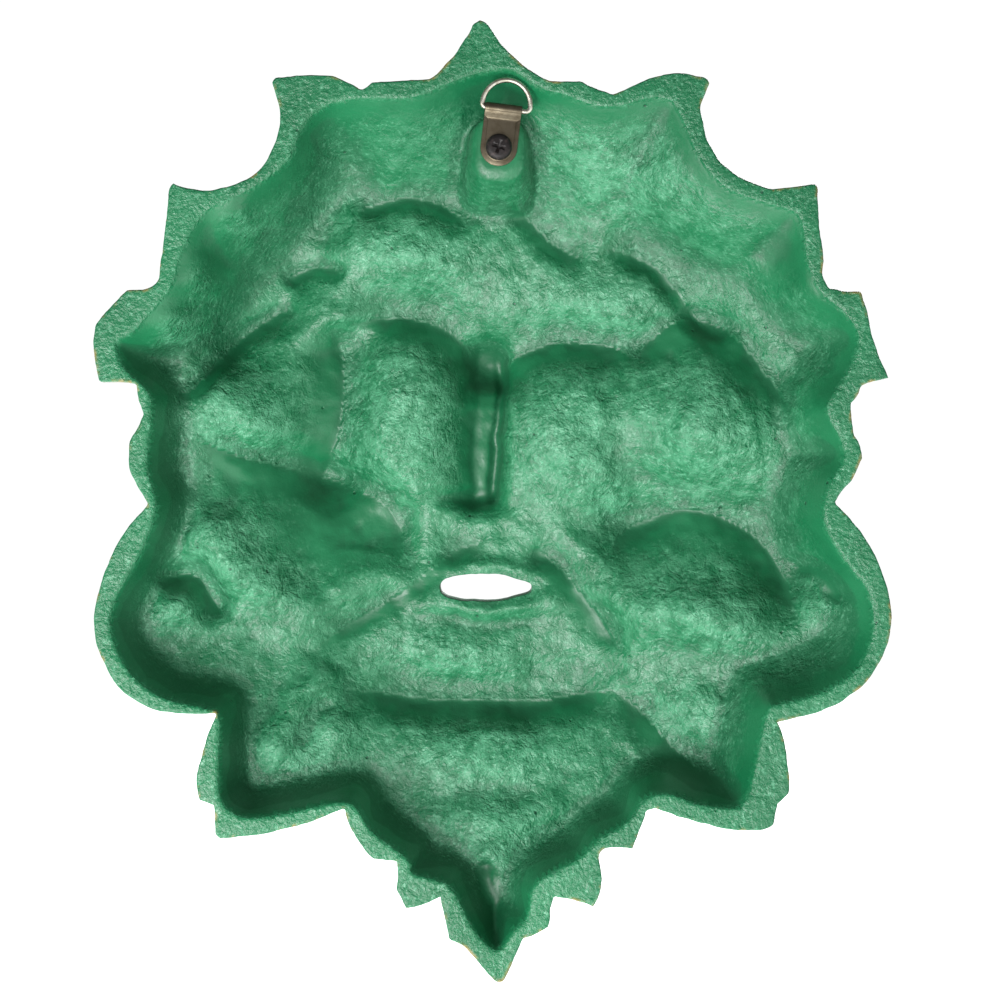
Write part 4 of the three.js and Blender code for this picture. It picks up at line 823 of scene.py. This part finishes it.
def make_object(name, vertices, faces):
    """A smooth-shaded mesh from points in millimetres."""
    mesh = bpy.data.meshes.new(name)
    mesh.from_pydata((np.asarray(vertices, float) * MM).tolist(), [], faces)
    mesh.update()
    mesh.polygons.foreach_set("use_smooth", [True] * len(mesh.polygons))
    obj = bpy.data.objects.new(name, mesh)
    bpy.context.scene.collection.objects.link(obj)
    return obj


def add_attribute(obj, name, values):
    layer = obj.data.attributes.new(name, "FLOAT", "POINT")
    layer.data.foreach_set("value", np.asarray(values, np.float32))


def smoothed(values, edges, rounds):
    """The values after each has been averaged with its neighbours so many times."""
    a, b = edges[:, 0], edges[:, 1]
    count = np.bincount(a, minlength=len(values)) + np.bincount(b, minlength=len(values)) + 1
    for _ in range(rounds):
        total = values + np.bincount(a, values[b], len(values)) + np.bincount(b, values[a], len(values))
        values = total / count
    return values


def closed_casting(places, triangles, back, front, attributes):
    """Vertices and faces of the back, the front and the walls that join them round the outline and the
    mouth. The values of the walls' vertices are added to the attributes."""
    count, rounded = len(places), len(ROUND_ANGLES)
    x, z = places[:, 0], places[:, 1]
    vertices = np.vstack([np.c_[x, -back, z], np.c_[x, -front, z]])
    faces = [(int(a), int(c), int(b)) for a, b, c in triangles]
    faces += [(int(a) + count, int(b) + count, int(c) + count) for a, b, c in triangles]
    for loop in boundary_loops([tuple(int(i) for i in t) for t in triangles]):
        line = places[loop]
        into = inward_normals(line)
        is_mouth = np.ptp(line[:, 0]) < 3 * MOUTH_HALF[0]
        levels = wall_levels(back[loop], front[loop], MOUTH_ROUND if is_mouth else EDGE_ROUND)
        added = {"relief": 0, "rough": ROUGH_FRONT, "on_rim": 0}
        added["near_outline"] = FAR_FROM_OUTLINE if is_mouth else 0
        rows = [np.array(loop)]
        for k, (out, depth) in enumerate(levels):
            height, size, seed = WALL_GRAIN
            wobble = np.clip(height * fractal(line[:, 0], depth, line[:, 1], size, seed), *WALL_RAGGED)
            shift = out if is_mouth else out + wobble * (rounded <= k < len(levels) - rounded)
            moved = line - into * np.broadcast_to(shift, len(loop))[:, None]
            rows.append(np.arange(len(loop)) + len(vertices))
            vertices = np.vstack([vertices, np.c_[moved[:, 0], -depth, moved[:, 1]]])
            added["front_share"] = (k + 1) / (len(levels) + 1)
            for name, value in added.items():
                attributes[name] = np.r_[attributes[name], np.full(len(loop), value)]
        rows.append(np.array(loop) + count)
        for row, next_row in zip(rows, rows[1:]):
            for k in range(len(loop)):
                j = (k + 1) % len(loop)
                faces.append((int(next_row[j]), int(next_row[k]), int(row[k]), int(row[j])))
    return vertices, faces


def make_casting():
    outline, edge, places, triangles = casting_plan()
    x, z = places[:, 0], places[:, 1]
    in_hollow = inside(edge, x, z)
    to_edge = nearest(edge, True, x, z)[0]
    in_hollow &= to_edge > ON_EDGE
    rim_width = nearest(outline, True, x, z)[0]
    inset = np.where(in_hollow, to_edge, 0)
    back = back_depth(x, z, in_hollow, to_edge)
    hollow = hollow_depth(x, z, inset)
    front = front_depth(x, z, inset, rim_width, np.where(in_hollow, hollow, 0))
    height, size, seed = FRONT_GRAIN
    front += height * plan_noise(x, z, size, seed) * smoothstep(rim_width / FRONT_GRAIN_IN)

    edges = np.vstack([triangles[:, [0, 1]], triangles[:, [1, 2]], triangles[:, [2, 0]]])
    # relief is below 0 in the creases, where the paint lays its painted shade, and above 0 on the front's
    # raised parts, which it gilds.
    sunk, raised = smoothed(back, edges, RELIEF_ROUNDS), smoothed(front, edges, RELIEF_ROUNDS)
    # rough also marks where the paint lays its painted sheen and glints.
    rough = lumpiness(x, z) * smoothstep(inset / SIDE_WIDTH - ROUGH_FROM_WALL)
    rough *= smoothstep(boss_spread(x, z) - ROUGH_FROM_BOSS)
    flat = np.zeros(len(places))
    attributes = {
        "relief": np.r_[sunk - back, front - raised],
        "rough": np.r_[np.where(in_hollow, rough, ROUGH_RIM), flat + ROUGH_FRONT],
        "front_share": np.r_[flat, flat + 1],
        "on_rim": np.r_[np.where(in_hollow, 0, 1), flat],
        "near_outline": np.r_[rim_width, rim_width],
    }
    obj = make_object("casting", *closed_casting(places, triangles, back, front, attributes))
    for name, values in attributes.items():
        add_attribute(obj, name, values)
    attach(obj, "mask")
    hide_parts("mask")
    return obj


def tube(path, radius, sides):
    """A closed tube round a closed path that lies in a plane of constant Y."""
    path = np.asarray(path, float)
    along = np.roll(path, -1, axis=0) - np.roll(path, 1, axis=0)
    along /= np.linalg.norm(along, axis=1)[:, None]
    out = np.c_[-along[:, 2], np.zeros(len(path)), along[:, 0]]
    vertices, faces = [], []
    for i, point in enumerate(path):
        for k in range(sides):
            angle = 2 * pi * k / sides
            vertices.append(point + out[i] * radius * cos(angle) + np.array([0, radius * sin(angle), 0]))
            a, b = i * sides + k, i * sides + (k + 1) % sides
            c, d = [((i + 1) % len(path)) * sides + n % sides for n in (k, k + 1)]
            faces.append((a, c, d, b))
    return vertices, faces


def arc(centre, reach, start, end, steps):
    angles = [radians(start + (end - start) * i / steps) for i in range(steps)]
    return [(centre[0] + reach[0] * cos(a), 0, centre[1] + reach[1] * sin(a)) for a in angles]


def placed(obj, matrix):
    """Puts the mesh itself in its place, so that the object stays at the origin."""
    to_metres = Matrix.Diagonal((MM, MM, MM, 1))
    to_millimetres = Matrix.Diagonal((1 / MM, 1 / MM, 1 / MM, 1))
    obj.data.transform(to_metres @ matrix @ to_millimetres)
    return obj


def make_ring():
    bar = RING_HALF_WIDTH - RING_SHOULDER
    bow = RING_HEIGHT - RING_SHOULDER
    shoulder = (RING_SHOULDER, RING_SHOULDER)
    path = [(-bar + 2 * bar * i / BAR_STEPS, 0, 0) for i in range(BAR_STEPS)]
    path += arc((bar, RING_SHOULDER), shoulder, -90, 0, SHOULDER_STEPS)
    path += arc((0, RING_SHOULDER), (RING_HALF_WIDTH, bow), 0, 180, BOW_STEPS)
    path += arc((-bar, RING_SHOULDER), shoulder, 180, 270, SHOULDER_STEPS)
    vertices, faces = tube(path, WIRE_SEEN, WIRE_SIDES)
    tilted = hanger_matrix() @ Matrix.Rotation(-RING_TILT, 4, "X")
    obj = placed(make_object("ring_wire", vertices, faces), tilted)
    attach(obj, "ring")
    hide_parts("hanger_ring")
    return obj


def strap_line():
    """Middle line of the folded strip, from the lower sheet's end round the bar to the upper's."""
    radius = WIRE_SEEN + PLAY + STRIP / 2
    turn = asin(-LOWER_SHEET_AT / radius)
    root = -radius * cos(turn)
    lower_end = -(SCREW_REACH + STRAP_HALF_WIDTH)
    upper_end = -(SCREW_REACH + STRAP_TOP_HALF)
    lower_steps, eye_steps, upper_steps = STRAP_STEPS
    lower = [(LOWER_SHEET_AT, z) for z in np.linspace(lower_end, root - LOWER_FROM_BAR, lower_steps)]
    eye = [(-radius * sin(a), -radius * cos(a)) for a in np.linspace(turn, 2 * pi - turn, eye_steps)]
    rise = -LOWER_SHEET_AT - UPPER_SHEET_AT
    upper = [(UPPER_SHEET_AT + rise * float(smoothstep((z - root + STRAP_FOLD) / STRAP_FOLD)), z)
             for z in np.linspace(root - UPPER_FROM_BAR, upper_end, upper_steps)]
    return np.array(lower + eye + upper), lower_end, upper_end


def strap_half_width(z, upper, lower_end, upper_end):
    full = STRAP_TOP_HALF if upper else STRAP_HALF_WIDTH
    end = upper_end if upper else lower_end
    neck = -STRAP_EYE_LENGTH
    width = full + (STRAP_EYE_HALF - full) * smoothstep((z - neck + STRAP_NECK / 2) / STRAP_NECK)
    to_end = np.clip((z - end) / full, 0, 1)
    return width * np.sqrt(np.clip(1 - (1 - to_end) ** 2, STRAP_TIP, 1))


def make_strap():
    line, lower_end, upper_end = strap_line()
    along = np.gradient(line, axis=0)
    along /= np.linalg.norm(along, axis=1)[:, None]
    half = STRIP / 2
    section = []
    for sign_x, sign_n, start in ((1, 1, 0), (-1, 1, 90), (-1, -1, 180), (1, -1, 270)):
        for step in range(4):
            a = radians(start + 30 * step)
            normal = sign_n * (half - STRAP_CORNER) + STRAP_CORNER * sin(a)
            section.append((sign_x, STRAP_CORNER * (cos(a) - sign_x), normal))
    vertices, faces = [], []
    for i, ((y, z), (dy, dz)) in enumerate(zip(line, along)):
        upper = i > len(line) / 2
        width = float(strap_half_width(np.array(z), upper, lower_end, upper_end))
        for sign_x, inset_x, normal in section:
            vertices.append((sign_x * width + inset_x, y - dz * normal, z + dy * normal))
    size = len(section)
    for i in range(len(line) - 1):
        for k in range(size):
            j = (k + 1) % size
            faces.append((i * size + k, i * size + j, (i + 1) * size + j, (i + 1) * size + k))
    faces.append(tuple(reversed(range(size))))
    faces.append(tuple(range((len(line) - 1) * size, len(line) * size)))
    slipped = hanger_matrix() @ Matrix.Translation((RING_SLIP, 0, 0))
    obj = placed(make_object("strap", vertices, faces), slipped)
    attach(obj, "mask")
    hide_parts("hanger_strap")
    return obj


def lathe(profile, sides):
    """A solid of revolution round the Y axis from (radius, y) pairs that start and end on the axis."""
    vertices = [(0, profile[0][1], 0), (0, profile[-1][1], 0)]
    faces = []
    inner = profile[1:-1]
    for radius, y in inner:
        for k in range(sides):
            angle = 2 * pi * k / sides
            vertices.append((radius * cos(angle), y, radius * sin(angle)))
    for k in range(sides):
        j = (k + 1) % sides
        faces.append((0, 2 + k, 2 + j))
        last = 2 + (len(inner) - 1) * sides
        faces.append((1, last + j, last + k))
        for i in range(len(inner) - 1):
            a = 2 + i * sides
            faces.append((a + k, a + sides + k, a + sides + j, a + j))
    return vertices, faces


def cut(obj, tool):
    modifier = obj.modifiers.new("cut", "BOOLEAN")
    modifier.operation = "DIFFERENCE"
    modifier.solver = "EXACT"
    modifier.object = tool
    bpy.context.view_layer.update()
    result = bpy.data.meshes.new_from_object(obj.evaluated_get(bpy.context.evaluated_depsgraph_get()))
    obj.modifiers.clear()
    obj.data = result
    bpy.data.objects.remove(tool)


def cross_bar(top, turn):
    """One tapered bar of the cross that is sunk into the screw's head."""
    c, s = cos(radians(turn)), sin(radians(turn))
    vertices = []
    for above, reach, width in CROSS_LEVELS:
        for u, v in ((-reach, -width), (reach, -width), (reach, width), (-reach, width)):
            vertices.append((u * c - v * s, top + above, u * s + v * c))
    faces = [(3, 2, 1, 0), (4, 5, 6, 7)] + [((k + 1) % 4, 4 + (k + 1) % 4, 4 + k, k) for k in range(4)]
    return vertices, faces


def make_screw():
    underside = UPPER_SHEET_AT + STRIP / 2 + PLAY
    top = underside + HEAD_HEIGHT + HEAD_CROWN
    tip = CLEARANCE / 2 + SHEET + CLEARANCE - SHANK_LENGTH
    profile = [(0, tip - SCREW_TIP), (TIP_RADIUS, tip - SCREW_TIP + TIP_ROUND)]
    for step in range(THREAD_STEPS):
        depth = 0 if step % 4 == 1 else THREAD_DEPTH
        profile.append((SHANK_RADIUS - depth, tip + step * THREAD_STEP))
    profile += [(SHANK_RADIUS, underside), (HEAD_RADIUS - HEAD_CHAMFER, underside)]
    profile.append((HEAD_RADIUS, underside + HEAD_CHAMFER))
    for angle in range(0, 91, 9):
        across = HEAD_ROUND * cos(radians(angle))
        up = (HEAD_HEIGHT - HEAD_SHOULDER) * sin(radians(angle))
        profile.append((HEAD_RADIUS - HEAD_ROUND + across, underside + HEAD_EDGE + up))
    profile += [(1, top), (0, top)]
    obj = make_object("screw", *lathe(profile, SCREW_SIDES))
    for turn in (SCREW_TURN, SCREW_TURN + 90):
        cut(obj, make_object("cross", *cross_bar(top, turn)))
    placed(obj, hanger_matrix() @ Matrix.Translation((RING_SLIP, 0, -SCREW_REACH)))
    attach(obj, "mask")
    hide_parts("hanger_screw")
    return obj


class Nodes:
    """A short way to write a node tree."""

    def __init__(self, name):
        self.material = bpy.data.materials.new(name)
        self.material.use_nodes = True
        self.tree = self.material.node_tree
        self.shader = self.tree.nodes["Principled BSDF"]
        self.place = self.node("ShaderNodeTexCoord").outputs["Object"]

    def node(self, kind, inputs=(), **settings):
        node = self.tree.nodes.new(kind)
        for name, value in settings.items():
            setattr(node, name, value)
        for key, value in dict(inputs).items():
            self.feed(node.inputs[key], value)
        return node

    def feed(self, socket, value):
        if isinstance(value, bpy.types.NodeSocket):
            self.tree.links.new(value, socket)
        else:
            socket.default_value = value

    def attribute(self, name):
        return self.node("ShaderNodeAttribute", attribute_name=name).outputs["Fac"]

    def noise(self, size, detail=3, roughness=0.55, distortion=0.0, shift=0.0):
        """Noise with lumps of about so many millimetres."""
        place = self.place
        if shift:
            place = self.node("ShaderNodeVectorMath", {0: place, 1: (shift, shift, shift)}).outputs[0]
        inputs = {"Vector": place, "Scale": 1000 / size, "Detail": detail}
        inputs |= {"Roughness": roughness, "Distortion": distortion}
        return self.node("ShaderNodeTexNoise", inputs).outputs["Fac"]

    def cells(self, size):
        inputs = {"Vector": self.place, "Scale": 1000 / size}
        return self.node("ShaderNodeTexVoronoi", inputs).outputs["Distance"]

    def maths(self, operation, a, b):
        return self.node("ShaderNodeMath", {0: a, 1: b}, operation=operation).outputs[0]

    def ranged(self, value, low, high, out_low=0.0, out_high=1.0, kind="SMOOTHSTEP"):
        inputs = {"Value": value, "From Min": low, "From Max": high, "To Min": out_low, "To Max": out_high}
        return self.node("ShaderNodeMapRange", inputs, interpolation_type=kind).outputs["Result"]

    def mix(self, share, a, b):
        node = self.node("ShaderNodeMix", data_type="RGBA")
        self.feed(node.inputs[0], share)
        self.feed(node.inputs[6], a)
        self.feed(node.inputs[7], b)
        return node.outputs[2]

    def bump(self, height, strength, distance, normal=None):
        inputs = {"Height": height, "Strength": strength, "Distance": distance * MM}
        node = self.node("ShaderNodeBump", inputs)
        if normal is not None:
            self.feed(node.inputs["Normal"], normal)
        return node.outputs["Normal"]


def srgb(red, green, blue):
    """A colour as it is read from a picture, 0 to 255, as linear light."""
    channels = [value / 255 for value in (red, green, blue)]
    linear = [c / 12.92 if c <= 0.04045 else ((c + 0.055) / 1.055) ** 2.4 for c in channels]
    return (*linear, 1)


DEEP_GREEN = srgb(15, 98, 60)
GREEN = srgb(26, 110, 70)
PAINTED_SHEEN_GREEN = srgb(77, 148, 111)
CREASE_SHADE_GREEN = srgb(10, 74, 46)
PAINTED_GLINT_GREEN = srgb(120, 194, 156)
PINHOLE_SHADE_GREEN = srgb(10, 46, 32)
WORN_OCHRE = srgb(150, 122, 62)
GILT = srgb(176, 142, 72)
NICKEL = (srgb(214, 210, 198), srgb(164, 158, 142))
BRONZED = (srgb(112, 104, 88), srgb(84, 76, 62))
BLACKENED = (srgb(30, 26, 26), srgb(62, 52, 50))


def green_paint():
    n = Nodes("painted casting")
    front = n.attribute("front_share")
    rim = n.attribute("on_rim")
    near_outline = n.attribute("near_outline")
    relief = n.attribute("relief")
    rough = n.attribute("rough")

    patches = n.noise(26, 4, 0.6, 0.4)
    colour = n.mix(n.ranged(patches, 0.35, 0.68), DEEP_GREEN, GREEN)
    # Painted sheen: a paler green laid on the rough lumps and broken up by noise, standing in for the gloss
    # highlights on the raised parts.
    sheen_breakup = n.noise(4.2, 5, 0.65)
    off_rim = n.maths("MULTIPLY", rough, n.ranged(rim, 0, 1, 1, 0.15))
    painted_sheen = n.maths("MULTIPLY", off_rim, n.ranged(sheen_breakup, 0.36, 0.66, 0.35, 1.0))
    colour = n.mix(n.ranged(painted_sheen, 0.1, 1, 0, 0.9), colour, PAINTED_SHEEN_GREEN)
    # Painted shade: a darker green in the creases, where the surface lies deeper than its surroundings.
    low = n.ranged(relief, -0.05, -0.6, 0, 0.4)
    colour = n.mix(low, colour, CREASE_SHADE_GREEN)
    # Painted glints: pale green specks on the rough lumps.
    glint_noise = n.noise(1.3, 3, 0.7, shift=2.3)
    painted_glint = n.maths("MULTIPLY", n.ranged(glint_noise, 0.52, 0.7, 0, 0.5), rough)
    colour = n.mix(painted_glint, colour, PAINTED_GLINT_GREEN)

    worn = n.ranged(n.noise(7, 4, 0.7, shift=5.1), 0.52, 0.66)
    edge_wear = n.maths("MULTIPLY", n.ranged(near_outline, 1.1, 0.0), worn)
    colour = n.mix(n.maths("MULTIPLY", edge_wear, 0.75), colour, WORN_OCHRE)
    raised = n.ranged(relief, 0.15, 1.1)
    brushed = n.ranged(n.noise(2.0, 4, 0.7, shift=8.7), 0.4, 0.62)
    gilding = n.maths("MULTIPLY", n.maths("MULTIPLY", raised, brushed), n.ranged(front, 0.8, 1.0))
    colour = n.mix(n.maths("MULTIPLY", gilding, 0.8), colour, GILT)

    # Painted shade: dark dots in the pinholes of the cast.
    pits = n.cells(9)
    pit = n.ranged(pits, 0.045, 0.02)
    colour = n.mix(n.maths("MULTIPLY", pit, 0.8), colour, PINHOLE_SHADE_GREEN)
    n.feed(n.shader.inputs["Base Color"], colour)

    gloss = n.ranged(n.noise(14, 3, 0.5, shift=3.9), 0.35, 0.65, 0.32, 0.42, "LINEAR")
    dull = n.maths("ADD", n.ranged(rough, 0.5, 1, 0, -0.12), n.ranged(relief, -0.1, -0.5, 0, 0.12))
    n.feed(n.shader.inputs["Roughness"], n.maths("ADD", gloss, dull))
    n.shader.inputs["Specular IOR Level"].default_value = 0.64

    leather = n.noise(1.1, 3, 0.6, 0.3)
    creases = n.ranged(n.noise(4.5, 4, 0.6, 0.7, 9.1), 0.3, 0.6)
    grain = n.maths("ADD", leather, n.maths("MULTIPLY", creases, 0.55))
    grain = n.maths("MULTIPLY", grain, n.ranged(rough, 0, 1, 0.12, 1.0))
    normal = n.bump(grain, 0.9, 0.65)
    normal = n.bump(n.ranged(pits, 0.03, 0.07), 0.8, 0.3, normal)
    n.feed(n.shader.inputs["Normal"], normal)
    return n.material


def worn_metal(name, wear, worn_from, colours, metallic, gloss, grain):
    """A metal that changes colour and gloss with its wear. Wear is (size, detail, roughness) of a noise
    and grain (size, strength, depth) of a fine bump."""
    n = Nodes(name)
    worn = n.noise(*wear)
    n.feed(n.shader.inputs["Base Color"], n.mix(n.ranged(worn, *worn_from), *colours))
    n.shader.inputs["Metallic"].default_value = metallic
    n.feed(n.shader.inputs["Roughness"], n.ranged(worn, 0.3, 0.7, *gloss, "LINEAR"))
    size, strength, depth = grain
    n.feed(n.shader.inputs["Normal"], n.bump(n.noise(size, 3, 0.6), strength, depth))
    return n.material


def nickel():
    wear, grain = (2.5, 4, 0.6), (0.7, 0.25, 0.05)
    return worn_metal("nickel wire", wear, (0.4, 0.7), NICKEL, 1, (0.16, 0.36), grain)


def bronzed_steel():
    wear, grain = (3.5, 5, 0.65), (0.5, 0.3, 0.05)
    return worn_metal("bronzed steel", wear, (0.35, 0.68), BRONZED, 1, (0.34, 0.52), grain)


def black_steel():
    wear, grain = (1.4, 4, 0.65), (0.6, 0.35, 0.06)
    return worn_metal("black steel", wear, (0.5, 0.75), BLACKENED, 0.4, (0.42, 0.6), grain)


def dress(obj, material):
    obj.data.materials.clear()
    obj.data.materials.append(material)


def area_light(name, target, direction, distance, size, watts, shadows):
    """A round light that looks at the target from so far along the direction, in millimetres."""
    direction = Vector(direction).normalized()
    lamp = bpy.data.lights.new(name, "AREA")
    lamp.shape = "DISK"
    lamp.size = size * MM
    lamp.energy = watts
    lamp.use_shadow = shadows
    obj = bpy.data.objects.new(name, lamp)
    obj.location = (Vector(target) + direction * distance) * MM
    obj.rotation_euler = (-direction).to_track_quat("-Z", "Y").to_euler()
    bpy.context.scene.collection.objects.link(obj)


def floor_paint():
    n = Nodes("pale floor")
    n.feed(n.shader.inputs["Base Color"], n.mix(n.noise(60), *FLOOR_COLOURS))
    n.shader.inputs["Roughness"].default_value = 0.9
    n.shader.inputs["Emission Color"].default_value = WHITE
    n.shader.inputs["Emission Strength"].default_value = 0.9
    return n.material


def make_floor():
    """A pale round floor under the lowest leaf."""
    lowest = cad_box[0].z / MM - 1
    angles = [2 * pi * k / FLOOR_SIDES for k in range(FLOOR_SIDES)]
    edge = [(FLOOR_RADIUS * cos(angle), FLOOR_RADIUS * sin(angle), lowest) for angle in angles]
    floor = make_object("floor", edge, [tuple(range(FLOOR_SIDES))])
    floor.visible_shadow = False
    dress(floor, floor_paint())


def make_surroundings():
    """Even white on all sides, stronger as the camera sees it than as light on the object."""
    world = bpy.data.worlds.new("studio")
    world.use_nodes = True
    tree = world.node_tree
    background = tree.nodes["Background"]
    background.inputs["Color"].default_value = WHITE
    path = tree.nodes.new("ShaderNodeLightPath")
    strength = tree.nodes.new("ShaderNodeMapRange")
    strength.inputs["To Min"].default_value = AMBIENT
    strength.inputs["To Max"].default_value = BACKDROP
    tree.links.new(path.outputs["Is Camera Ray"], strength.inputs["Value"])
    tree.links.new(strength.outputs["Result"], background.inputs["Strength"])
    bpy.context.scene.world = world


def photo_centre():
    middle = PHOTO_SIZE / 2
    return (RING_PIXEL[0] - middle) * PIXEL, (RING_PIXEL[1] - middle) * PIXEL


def make_camera():
    x, z = photo_centre()
    data = bpy.data.cameras.new("camera")
    data.sensor_width = SENSOR
    data.lens = SENSOR * CAMERA_DISTANCE / (PHOTO_SIZE * PIXEL)
    data.clip_start, data.clip_end = CLIP
    camera = bpy.data.objects.new("camera", data)
    camera.location = (x * MM, CAMERA_DISTANCE * MM, z * MM)
    camera.rotation_euler = (radians(90), 0, radians(180))
    bpy.context.scene.collection.objects.link(camera)
    bpy.context.scene.camera = camera


def make_lights():
    x, z = photo_centre()
    middle = (x, LIGHTS_AIM, z)
    for name, direction, distance, size, watts, shadows in LIGHTS:
        area_light(name, middle, direction, distance, size, watts, shadows)


make_camera()
make_floor()
make_surroundings()
make_lights()
dress(make_casting(), green_paint())
dress(make_ring(), nickel())
dress(make_strap(), bronzed_steel())
dress(make_screw(), black_steel())

scene = bpy.context.scene
scene.view_settings.view_transform = "Standard"
scene.view_settings.look = "None"
